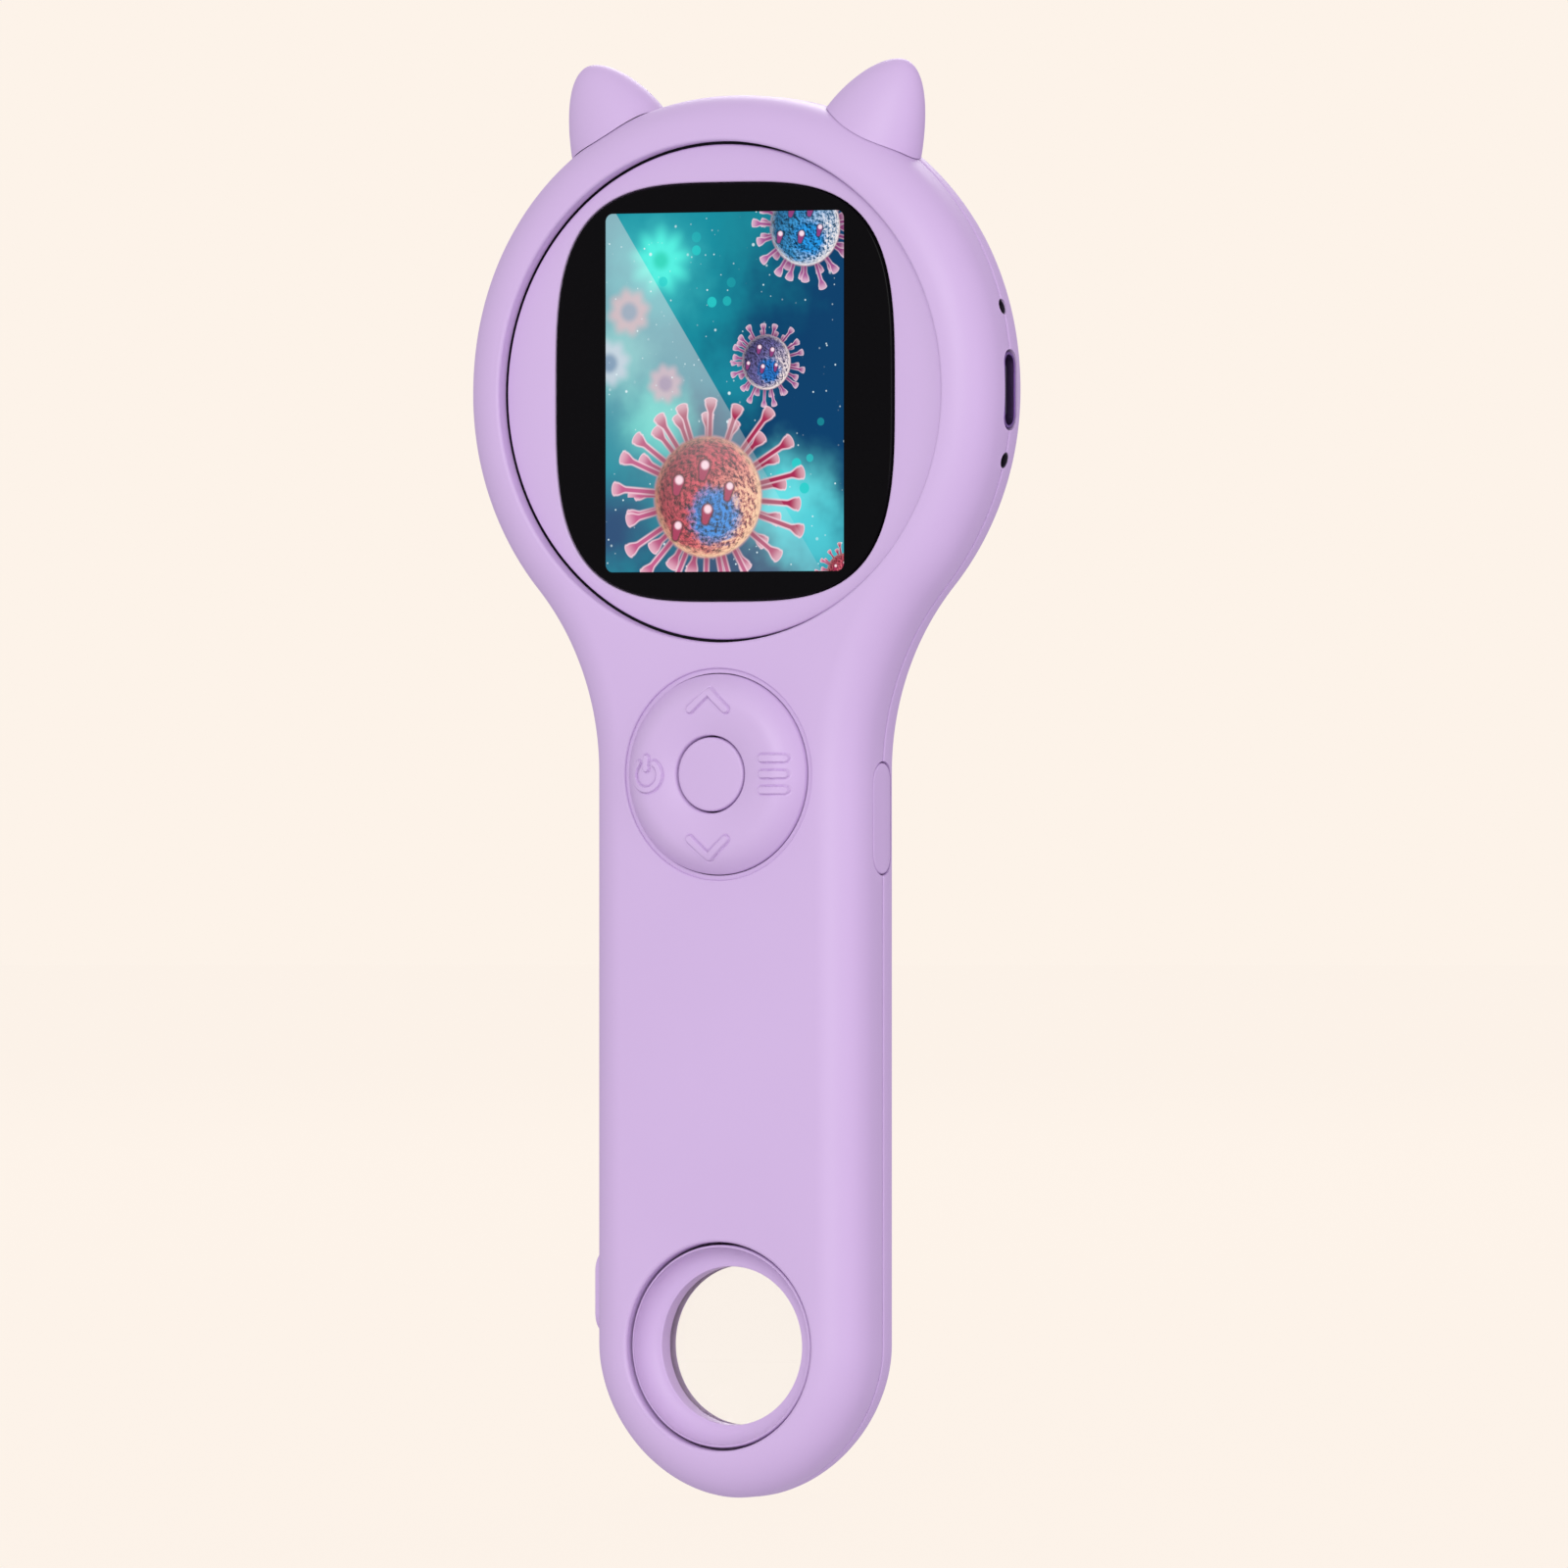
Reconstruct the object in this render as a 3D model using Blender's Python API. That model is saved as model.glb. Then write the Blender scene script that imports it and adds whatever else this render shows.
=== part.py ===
"""Handheld digital microscope for children, shaped like a magnifying glass with two ears.

The microscope stands upright: +Z runs up the handle, the screen faces -Y and the port is on
the +X side. The origin is in the middle of the grip, on the parting plane of the case.
All values are metres, written as millimetres times MM.
"""

import math

import bmesh
import bpy
from mathutils import Matrix, Vector

MM = 0.001

# Case
HEAD_HEIGHT = 76.0 * MM
HEAD_RADIUS = 33.9 * MM
HANDLE_HALF_WIDTH = 17.3 * MM
HANDLE_END_DROP = 32.3 * MM
NECK_RADIUS = 31.2 * MM
FRONT_DEPTH = 7.5 * MM
BACK_DEPTH = 7.5 * MM
FRONT_FILLET = 5.0 * MM
BACK_FILLET = 7.2 * MM
WALL = 1.8 * MM
LIP_THICKNESS = 0.8 * MM
LIP_HEIGHT = 1.2 * MM
CLEARANCE = 0.3 * MM

# Ears
EAR_ANGLE = math.radians(29.5)
EAR_LEAN = math.radians(16.0)
EAR_HEIGHT = 11.0 * MM
EAR_FOOT_DEPTH = 3.0 * MM
EAR_HALF_WIDTH = 8.0 * MM
EAR_HALF_DEPTH = 4.6 * MM
EAR_PEG_RADIUS = 1.2 * MM
EAR_PEG_LENGTH = 3.4 * MM

# Display
OPENING_RADIUS = 28.5 * MM
SURROUND_SETBACK = 1.5 * MM
SURROUND_THICKNESS = 1.3 * MM
WINDOW_WIDTH = 43.5 * MM
WINDOW_HEIGHT = 47.4 * MM
WINDOW_SQUARENESS = 3.45
BRACKET_SEAT = 1.0 * MM
BRACKET_THICKNESS = 1.2 * MM
PANEL_WIDTH = 32.6 * MM
PANEL_HEIGHT = 43.6 * MM
PANEL_THICKNESS = 1.8 * MM
SHIELD_THICKNESS = 0.5 * MM

# Boards
BOARD_THICKNESS = 0.8 * MM
MAIN_BOARD_MARGIN = 7.9 * MM
MAIN_BOARD_DROP = 24.4 * MM
KEY_BOARD_MARGIN = 3.5 * MM
KEY_BOARD_HEIGHT = 28.0 * MM
PROCESSOR_SIZE = 9.0 * MM
SENSOR_SIZE = 6.0 * MM
CHIP_THICKNESS = 1.0 * MM
RIBBON_WIDTH = 8.0 * MM
RIBBON_THICKNESS = 0.2 * MM
RIBBON_OVERLAP = 2.0 * MM

# Direction ring and middle key
PAD_HEIGHT = 32.6 * MM
PAD_RADIUS = 11.4 * MM
PAD_MOAT = 0.6 * MM
PAD_RISE = 2.4 * MM
PAD_DIP = 0.6 * MM
PAD_EDGE_RISE = 0.1 * MM
PAD_FLANGE = 1.1 * MM
PAD_FLANGE_THICKNESS = 0.8 * MM
PAD_TILT_ROOM = 0.5 * MM
MIDDLE_KEY_RADIUS = 4.2 * MM
MIDDLE_KEY_FLANGE = 1.2 * MM
MIDDLE_KEY_TRAVEL = 0.4 * MM
MIDDLE_KEY_EDGE = 0.2 * MM
RUBBER_THICKNESS = 0.6 * MM
RUBBER_MARGIN = 0.8 * MM
DOME_RADIUS = 1.9 * MM
DOME_HEIGHT = 0.6 * MM
DOME_ROOM = 0.1 * MM
DOME_MARGIN = 3.0 * MM

# Side keys, on the parting plane
RIGHT_KEY_HEIGHT = 27.6 * MM
RIGHT_KEY_LENGTH = 12.6 * MM
RIGHT_KEY_WIDTH = 4.8 * MM
LEFT_KEY_HEIGHT = -26.5 * MM
LEFT_KEY_LENGTH = 9.4 * MM
LEFT_KEY_WIDTH = 4.6 * MM
LEFT_KEY_PROUD = 1.0 * MM
SIDE_KEY_RIM = 0.6 * MM
SIDE_KEY_RIM_THICKNESS = 0.7 * MM
SIDE_KEY_TRAVEL = 0.5 * MM
POCKET_SKIN = 0.05 * MM
RIGHT_SWITCH_SIZE = (1.5 * MM, 2.6 * MM, 5.0 * MM)
LEFT_SWITCH_SIZE = (0.9 * MM, 2.4 * MM, 3.6 * MM)
RIGHT_SWITCH_ROOM = 0.6 * MM
LEFT_SWITCH_ROOM = 0.6 * MM
LEFT_SWITCH_RISE = 3.0 * MM

# Port and small holes in the head's right side
PORT_OPENING_WIDTH = 9.2 * MM
PORT_OPENING_HEIGHT = 3.5 * MM
PORT_DEPTH = 7.3 * MM
PORT_SETBACK = 1.6 * MM
PORT_SHELL = 0.35 * MM
PORT_FLOOR = 1.0 * MM
PORT_TONGUE_SETBACK = 0.7 * MM
PORT_TONGUE_WIDTH = 6.2 * MM
PORT_TONGUE_THICKNESS = 0.7 * MM
SMALL_HOLE_RADIUS = 0.9 * MM
LIGHT_PIPE_RISE = 9.4 * MM
RESET_DROP = 7.95 * MM
PLUNGER_LENGTH = 5.2 * MM
PLUNGER_SETBACK = 1.2 * MM
PLUNGER_COLLAR = 0.5 * MM
LIGHT_PIPE_TAIL = 6.5 * MM

# Magnifier in the handle's end
EYE_OPENING_RADIUS = 11.85 * MM
EYE_RING_SETBACK = 0.5 * MM
EYE_RING_WIDTH = 2.8 * MM
EYE_RING_MOUTH_DEPTH = 3.4 * MM
EYE_RING_DEPTH = 5.3 * MM
EYE_TUBE_WALL = 1.2 * MM
EYE_LENS_EDGE = 1.2 * MM
EYE_LENS_CROWN = 0.6 * MM
EYE_RING_EDGE = 0.2 * MM
EYE_FLARE = math.radians(29.5)

# Battery
BATTERY_WIDTH = 24.0 * MM
BATTERY_LENGTH = 29.0 * MM
BATTERY_THICKNESS = 5.0 * MM
BATTERY_CORNER = 2.0 * MM
BATTERY_ROOM = 1.0 * MM
CONNECTOR_SIZE = (6.0 * MM, 2.6 * MM, 3.0 * MM)

# Camera, on the head's back
CAMERA_TUBE_RADIUS = 10.0 * MM
CAMERA_TUBE_BORE = 8.6 * MM
CAMERA_TUBE_RISE = 5.9 * MM
CAMERA_FLANGE = 2.2 * MM
CAMERA_FLANGE_THICKNESS = 1.0 * MM
FOCUS_RING_RADIUS = 14.0 * MM
FOCUS_RING_WIDTH = 5.0 * MM
FOCUS_RIBS = 36
FOCUS_RIB_DEPTH = 0.4 * MM
FOCUS_RING_EDGE = 0.5 * MM
BARREL_RADIUS = 8.2 * MM
BARREL_BORE = 5.0 * MM
BARREL_LENGTH = 4.6 * MM
BARREL_FORWARD = 0.6 * MM
OBJECTIVE_THICKNESS = 2.0 * MM
OBJECTIVE_CROWN = 0.5 * MM
LAMP_BOARD_RADIUS = 11.0 * MM
LAMP_COUNT = 6
LAMP_RADIUS = 1.2 * MM
LAMP_HEIGHT = 0.8 * MM
LAMP_CIRCLE = 8.3 * MM
DIFFUSER_THICKNESS = 0.8 * MM
HOOD_RADIUS = 13.6 * MM
HOOD_WALL = 1.3 * MM
HOOD_RIM_RADIUS = 12.6 * MM
HOOD_STAND_OFF = 4.6 * MM

# Fasteners
SCREW_HEAD_RADIUS = 1.5 * MM
SCREW_HEAD_HEIGHT = 1.0 * MM
SCREW_HEAD_EDGE = 0.3 * MM
SCREW_SHANK_RADIUS = 0.7 * MM
SCREW_LENGTH = 6.4 * MM
SCREW_SETBACK = 1.0 * MM
BACK_BOSS_DEPTH = 1.6 * MM
POST_RADIUS = 1.9 * MM
UPPER_POST_ANGLE = math.radians(29.1)
LOWER_POST_INSET = 5.5 * MM
LOWER_POST_RISE = 14.3 * MM

# Fineness of the meshes
HEAD_STEPS = 22
NECK_STEPS = 6
END_STEPS = 10
FILLET_STEPS = 4
FINE_STEPS = 40
ROUND_STEPS = 28
SMALL_STEPS = 12
CREASE = math.radians(35.0)

# Places worked out from the sizes above
SEAM_Y = 0.5 * CLEARANCE
EYE_HEIGHT = -HANDLE_END_DROP
SURROUND_FRONT = -FRONT_DEPTH + SURROUND_SETBACK
SURROUND_BACK = SURROUND_FRONT + SURROUND_THICKNESS
BRACKET_FRONT = SURROUND_BACK + CLEARANCE
BRACKET_RADIUS = OPENING_RADIUS + BRACKET_SEAT
PANEL_BACK = BRACKET_FRONT + PANEL_THICKNESS
SHIELD_FRONT = PANEL_BACK + CLEARANCE
MAIN_BOARD_FRONT = -0.5 * BOARD_THICKNESS
MAIN_BOARD_BACK = 0.5 * BOARD_THICKNESS
MAIN_BOARD_LOWEST = HEAD_HEIGHT - MAIN_BOARD_DROP
PAD_SHOULDER = -FRONT_DEPTH + WALL + PAD_TILT_ROOM
PAD_BACK = PAD_SHOULDER + PAD_FLANGE_THICKNESS
RUBBER_FRONT = PAD_BACK + CLEARANCE
RUBBER_BACK = RUBBER_FRONT + RUBBER_THICKNESS
DOME_FRONT = RUBBER_BACK + MIDDLE_KEY_TRAVEL + DOME_ROOM
KEY_BOARD_FRONT = DOME_FRONT + DOME_HEIGHT + CLEARANCE
KEY_BOARD_BACK = KEY_BOARD_FRONT + BOARD_THICKNESS
PIVOT_Y = 0.5 * (RUBBER_FRONT + RUBBER_BACK)
MIDDLE_HOLE_RADIUS = MIDDLE_KEY_RADIUS + CLEARANCE
CAMERA_HOLE_RADIUS = CAMERA_TUBE_RADIUS + CLEARANCE
CAMERA_TUBE_BASE = BACK_DEPTH - WALL - CLEARANCE - CAMERA_FLANGE_THICKNESS
CAMERA_TUBE_END = BACK_DEPTH + CAMERA_TUBE_RISE
FOCUS_RING_BASE = BACK_DEPTH + CLEARANCE
FOCUS_RING_END = FOCUS_RING_BASE + FOCUS_RING_WIDTH
LAMP_BOARD_Y = CAMERA_TUBE_END + CLEARANCE
LAMP_Y = LAMP_BOARD_Y + BOARD_THICKNESS + CLEARANCE
DIFFUSER_Y = LAMP_Y + LAMP_HEIGHT + CLEARANCE
HOOD_RIM_Y = DIFFUSER_Y + DIFFUSER_THICKNESS + HOOD_STAND_OFF
EYE_RING_BORE = EYE_OPENING_RADIUS - EYE_RING_WIDTH
EYE_RING_FRONT = -FRONT_DEPTH + EYE_RING_SETBACK
EYE_RING_BACK = -FRONT_DEPTH + EYE_RING_DEPTH
EYE_LENS_FRONT = EYE_RING_BACK + CLEARANCE
EYE_LENS_BACK = EYE_LENS_FRONT + EYE_LENS_EDGE
BOSS_END = BACK_DEPTH - WALL - BACK_BOSS_DEPTH
POST_END = BOSS_END - CLEARANCE
SCREW_TOP = BACK_DEPTH - SCREW_SETBACK
SCREW_SEAT = SCREW_TOP - SCREW_HEAD_HEIGHT - CLEARANCE
SCREW_TIP = SCREW_TOP - SCREW_LENGTH
SCREW_ROOM = SCREW_SHANK_RADIUS + CLEARANCE
UPPER_POST_REACH = BRACKET_RADIUS + CLEARANCE + POST_RADIUS
UPPER_POST = (
    UPPER_POST_REACH * math.sin(UPPER_POST_ANGLE),
    HEAD_HEIGHT - UPPER_POST_REACH * math.cos(UPPER_POST_ANGLE),
)
LOWER_POST = (HANDLE_HALF_WIDTH - LOWER_POST_INSET, EYE_HEIGHT + LOWER_POST_RISE)
POSTS = [(side * x, z) for x, z in (UPPER_POST, LOWER_POST) for side in (1, -1)]


# ---------------------------------------------------------------- scene and materials


def clear_scene():
    for obj in list(bpy.data.objects):
        bpy.data.objects.remove(obj, do_unlink=True)


def material(name, colour, roughness, metallic=0.0, alpha=1.0):
    """A Principled material, made once and then shared by name."""
    found = bpy.data.materials.get(name)
    if found:
        return found
    made = bpy.data.materials.new(name)
    made.use_nodes = True
    shader = made.node_tree.nodes["Principled BSDF"]
    shader.inputs["Base Color"].default_value = (*colour, 1.0)
    shader.inputs["Roughness"].default_value = roughness
    shader.inputs["Metallic"].default_value = metallic
    shader.inputs["Alpha"].default_value = alpha
    made.diffuse_color = (*colour, alpha)
    return made


def lilac():
    return material("lilac_plastic", (0.651, 0.485, 0.776), 0.45)


def clear_glass(name):
    return material(name, (0.9, 0.97, 0.95), 0.05, alpha=0.3)


def black_plastic():
    return material("black_plastic", (0.02, 0.02, 0.022), 0.5)


def board_green():
    return material("board_green", (0.03, 0.16, 0.08), 0.5)


def steel():
    return material("steel", (0.6, 0.6, 0.62), 0.3, metallic=1.0)


def grey_rubber():
    return material("grey_rubber", (0.45, 0.44, 0.47), 0.8)


# ---------------------------------------------------------------- mesh tools


def add_object(name, mesh_data, look, origin=(0.0, 0.0, 0.0), smooth=True):
    """Makes an object of a bmesh drawn in world coordinates, with its origin at a given point."""
    bmesh.ops.recalc_face_normals(mesh_data, faces=mesh_data.faces)
    mesh_data.transform(Matrix.Translation(-Vector(origin)))
    mesh = bpy.data.meshes.new(name)
    mesh_data.to_mesh(mesh)
    mesh_data.free()
    if smooth:
        mesh.shade_smooth()
        mesh.set_sharp_from_angle(angle=CREASE)
    if look:
        mesh.materials.append(look)
    obj = bpy.data.objects.new(name, mesh)
    obj.location = origin
    bpy.context.scene.collection.objects.link(obj)
    return obj


def add_helper(name, mesh_data):
    """A cutter or an added shape, which only a Boolean reads."""
    obj = add_object(name, mesh_data, None, smooth=False)
    obj.hide_render = True
    obj.display_type = "WIRE"
    return obj


def boolean(obj, other, operation):
    modifier = obj.modifiers.new(f"{operation.lower()}_{other.name}", "BOOLEAN")
    modifier.operation = operation
    modifier.solver = "EXACT"
    modifier.object = other


def joined(*parts):
    """Several bmeshes as one."""
    whole = bmesh.new()
    for part in parts:
        copies = {vertex: whole.verts.new(vertex.co) for vertex in part.verts}
        for face in part.faces:
            whole.faces.new([copies[vertex] for vertex in face.verts])
        part.free()
    return whole


def bridged(rings, close_ends=True, loop=False):
    """Skins a list of equally long point rings, and caps the first and the last."""
    mesh = bmesh.new()
    rows = [[mesh.verts.new(point) for point in ring] for ring in rings]
    pairs = list(zip(rows, rows[1:]))
    if loop:
        pairs.append((rows[-1], rows[0]))
    for near, far in pairs:
        for index, vertex in enumerate(near):
            after = (index + 1) % len(near)
            mesh.faces.new((vertex, near[after], far[after], far[index]))
    if close_ends and not loop:
        mesh.faces.new(rows[0])
        mesh.faces.new(rows[-1])
    return mesh


def turned(profile, centre=(0.0, 0.0), steps=ROUND_STEPS):
    """Turns a closed (radius, y) profile about the Y axis through centre, an (x, z) place.

    A profile that starts and ends at radius 0 makes a solid disc, any other makes a ring.
    """
    mesh = bmesh.new()
    rows = []
    for radius, y in profile:
        if radius == 0.0:
            rows.append([mesh.verts.new((centre[0], y, centre[1]))])
            continue
        row = []
        for step in range(steps):
            angle = math.tau * (step + 0.5) / steps
            x = centre[0] + radius * math.cos(angle)
            z = centre[1] + radius * math.sin(angle)
            row.append(mesh.verts.new((x, y, z)))
        rows.append(row)
    for near, far in zip(rows, rows[1:] + rows[:1]):
        if len(near) == 1 and len(far) == 1:
            continue
        for step in range(steps):
            after = (step + 1) % steps
            if len(near) == 1:
                corners = [near[0], far[after], far[step]]
            elif len(far) == 1:
                corners = [near[step], near[after], far[0]]
            else:
                corners = [near[step], near[after], far[after], far[step]]
            mesh.faces.new(corners)
    return mesh


def disc(radius, low_y, high_y, centre=(0.0, 0.0), steps=ROUND_STEPS):
    return turned([(0.0, low_y), (radius, low_y), (radius, high_y), (0.0, high_y)], centre, steps)


def ring(outer, bore, low_y, high_y, centre=(0.0, 0.0), steps=ROUND_STEPS):
    return turned([(bore, low_y), (outer, low_y), (outer, high_y), (bore, high_y)], centre, steps)


def slab(outline, low_y, high_y):
    """An outline of (x, z) points, filled between two depths."""
    rings = [[(x, y, z) for x, z in outline] for y in (low_y, high_y)]
    return bridged(rings)


def side_slab(outline, low_x, high_x):
    """An outline of (y, z) points, filled between two places across the case."""
    rings = [[(x, y, z) for y, z in outline] for x in (low_x, high_x)]
    return bridged(rings)


def rectangle(width, height, centre=(0.0, 0.0)):
    u, v = centre
    corners = ((-1, -1), (1, -1), (1, 1), (-1, 1))
    return [(u + 0.5 * width * a, v + 0.5 * height * b) for a, b in corners]


def capsule(width, length, centre=(0.0, 0.0), steps=6):
    """A slot with round ends: width along the first axis, length along the second."""
    radius = 0.5 * width
    reach = 0.5 * length - radius
    points = []
    for end in (1, -1):
        for step in range(steps + 1):
            angle = math.pi * step / steps + (0.0 if end > 0 else math.pi)
            u = centre[0] + radius * math.cos(angle)
            v = centre[1] + end * reach + radius * math.sin(angle)
            points.append((u, v))
    return points


def squircle(width, height, centre, steps=10):
    """A rectangle with bulging sides and soft corners."""
    points = []
    for step in range(4 * steps):
        angle = math.tau * (step + 0.5) / (4 * steps)
        reach = abs(math.cos(angle)) ** WINDOW_SQUARENESS + abs(math.sin(angle)) ** WINDOW_SQUARENESS
        reach = reach ** (-1.0 / WINDOW_SQUARENESS)
        x = centre[0] + 0.5 * width * reach * math.cos(angle)
        z = centre[1] + 0.5 * height * reach * math.sin(angle)
        points.append((x, z))
    return points


def block(centre, size):
    """A plain block given by its centre and its three sizes."""
    outline = rectangle(size[0], size[2], (centre[0], centre[2]))
    return slab(outline, centre[1] - 0.5 * size[1], centre[1] + 0.5 * size[1])


# ---------------------------------------------------------------- case


def case_outline(inset):
    """The case's outline in the XZ plane, moved inwards, as (x, z) points round from the top.

    The head's arc, the hollow neck arc, the straight handle and the half-round end touch
    each other smoothly, so an inset only changes their radii.
    """
    reach = HEAD_RADIUS + NECK_RADIUS
    dip = math.acos((HANDLE_HALF_WIDTH + NECK_RADIUS) / reach)
    neck = (HANDLE_HALF_WIDTH + NECK_RADIUS, HEAD_HEIGHT - reach * math.sin(dip))
    right = []
    for step in range(HEAD_STEPS):
        angle = 0.5 * math.pi - (0.5 * math.pi + dip) * step / HEAD_STEPS
        radius = HEAD_RADIUS - inset
        right.append((radius * math.cos(angle), HEAD_HEIGHT + radius * math.sin(angle)))
    for step in range(NECK_STEPS):
        angle = math.pi - dip + dip * step / NECK_STEPS
        radius = NECK_RADIUS + inset
        right.append((neck[0] + radius * math.cos(angle), neck[1] + radius * math.sin(angle)))
    right.append((HANDLE_HALF_WIDTH - inset, neck[1]))
    for step in range(END_STEPS + 1):
        angle = -0.5 * math.pi * step / END_STEPS
        radius = HANDLE_HALF_WIDTH - inset
        right.append((radius * math.cos(angle), EYE_HEIGHT + radius * math.sin(angle)))
    left = [(-x, z) for x, z in reversed(right[1:-1])]
    return right + left


def fillet_levels(fillet, start_y, towards, thickness=0.0):
    """(inset, y) places from the side of the case round to its face, for one fillet.

    thickness moves the fillet inwards, which gives the inner side of the wall.
    """
    levels = []
    for step in range(FILLET_STEPS + 1):
        angle = 0.5 * math.pi * step / FILLET_STEPS
        radius = fillet - thickness
        inset = fillet - radius * math.cos(angle)
        levels.append((inset, start_y + towards * radius * math.sin(angle)))
    return levels


def case_solid(levels):
    rings = []
    for inset, y in levels:
        rings.append([(x, y, z) for x, z in case_outline(inset)])
    return bridged(rings)


def front_levels():
    corner = -FRONT_DEPTH + FRONT_FILLET
    outer = fillet_levels(FRONT_FILLET, corner, -1)
    inner = fillet_levels(FRONT_FILLET, corner, -1, WALL)
    return outer[::-1] + [(0.0, -SEAM_Y), (WALL, -SEAM_Y)] + inner


def back_levels():
    corner = BACK_DEPTH - BACK_FILLET
    outer = fillet_levels(BACK_FILLET, corner, 1)
    inner = fillet_levels(BACK_FILLET, corner, 1, WALL)
    lip_out = WALL + CLEARANCE
    lip_in = lip_out + LIP_THICKNESS
    lip = [(lip_in, -LIP_HEIGHT), (lip_out, -LIP_HEIGHT), (lip_out, SEAM_Y), (0.0, SEAM_Y)]
    kept = [level for level in inner[::-1] if level[0] > lip_in]
    radius = BACK_FILLET - WALL
    foot = corner + math.sqrt(radius**2 - (BACK_FILLET - lip_in) ** 2)
    return kept + [(lip_in, foot)] + lip + outer


def grown_case(extra):
    """The whole outer form of the case, larger all round by extra."""
    front = fillet_levels(FRONT_FILLET, -FRONT_DEPTH + FRONT_FILLET, -1, -extra)
    back = fillet_levels(BACK_FILLET, BACK_DEPTH - BACK_FILLET, 1, -extra)
    return case_solid(front[::-1] + back)


def eye_cone(radius_gain, low_y, high_y):
    """A cone widening to the back about the magnifier's axis, given as a (radius, y) pair."""
    slope = math.tan(EYE_FLARE)
    base = EYE_RING_BORE + CLEARANCE + radius_gain
    return [(base + slope * (y - EYE_LENS_BACK), y) for y in (low_y, high_y)]


def eye_cone_top():
    """The depth at which the cone's outer side reaches the middle of the back's wall."""
    low = BACK_DEPTH - BACK_FILLET
    high = BACK_DEPTH - 0.5 * WALL
    radius = BACK_FILLET - 0.5 * WALL
    for _ in range(30):
        middle = 0.5 * (low + high)
        reach = eye_cone(EYE_TUBE_WALL, middle, middle)[0][0]
        across = math.sqrt(max(radius**2 - (middle - BACK_DEPTH + BACK_FILLET) ** 2, 0.0))
        if reach > HANDLE_HALF_WIDTH - BACK_FILLET + across:
            high = middle
        else:
            low = middle
    return low


def side_pocket(side, height, length, width):
    """The room cut out of the wall's inner side for a side key's rim."""
    reach = HANDLE_HALF_WIDTH - WALL - POCKET_SKIN
    room = 2.0 * (SIDE_KEY_RIM + CLEARANCE)
    depth = SIDE_KEY_RIM_THICKNESS + SIDE_KEY_TRAVEL + 2.0 * CLEARANCE
    size = (depth, width + room, length + room)
    return block((side * (reach - 0.5 * size[0]), 0.0, height), size)


def side_slot(side, height, length, width):
    outline = capsule(width + 2.0 * CLEARANCE, length + 2.0 * CLEARANCE, (0.0, height))
    low = HANDLE_HALF_WIDTH - 2.0 * WALL
    high = HANDLE_HALF_WIDTH + WALL
    return side_slab(outline, min(side * low, side * high), max(side * low, side * high))


def round_hole_x(radius, height, low_x, high_x, steps=SMALL_STEPS):
    points = []
    for step in range(steps):
        angle = math.tau * step / steps
        points.append((radius * math.cos(angle), height + radius * math.sin(angle)))
    return side_slab(points, low_x, high_x)


def ear_peg(side, radius):
    """The round peg that holds an ear, from just inside the head's rim outwards."""
    direction = Vector((side * math.sin(EAR_ANGLE), 0.0, math.cos(EAR_ANGLE)))
    foot = Vector((0.0, 0.0, HEAD_HEIGHT)) + direction * (HEAD_RADIUS - EAR_PEG_LENGTH)
    across = Vector((0.0, 1.0, 0.0))
    along = direction.cross(across)
    rings = []
    for distance in (0.0, EAR_PEG_LENGTH + WALL):
        points = []
        for step in range(SMALL_STEPS):
            angle = math.tau * step / SMALL_STEPS
            arm = across * math.cos(angle) + along * math.sin(angle)
            points.append(foot + direction * distance + arm * radius)
        rings.append(points)
    return bridged(rings)


def side_cuts():
    """Everything cut through both case halves from the sides."""
    inside = HEAD_RADIUS - 3.0 * WALL
    outside = HEAD_RADIUS + WALL
    slot = capsule(PORT_OPENING_HEIGHT, PORT_OPENING_WIDTH, (0.0, HEAD_HEIGHT))
    return joined(
        side_slot(1, RIGHT_KEY_HEIGHT, RIGHT_KEY_LENGTH, RIGHT_KEY_WIDTH),
        side_slot(-1, LEFT_KEY_HEIGHT, LEFT_KEY_LENGTH, LEFT_KEY_WIDTH),
        side_slab(slot, inside, outside),
        round_hole_x(SMALL_HOLE_RADIUS, HEAD_HEIGHT + LIGHT_PIPE_RISE, inside, outside),
        round_hole_x(SMALL_HOLE_RADIUS, HEAD_HEIGHT - RESET_DROP, inside, outside),
        ear_peg(1, EAR_PEG_RADIUS + CLEARANCE),
        ear_peg(-1, EAR_PEG_RADIUS + CLEARANCE),
    )


def key_pockets():
    return joined(
        side_pocket(1, RIGHT_KEY_HEIGHT, RIGHT_KEY_LENGTH, RIGHT_KEY_WIDTH),
        side_pocket(-1, LEFT_KEY_HEIGHT, LEFT_KEY_LENGTH, LEFT_KEY_WIDTH),
    )


def screw_post(foot, place):
    """A round post with a blind hole for a case screw."""
    bottom = SCREW_TIP - CLEARANCE
    profile = [(0.0, foot), (POST_RADIUS, foot), (POST_RADIUS, POST_END)]
    profile += [(SCREW_ROOM, POST_END), (SCREW_ROOM, bottom), (0.0, bottom)]
    return turned(profile, place, SMALL_STEPS)


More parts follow.
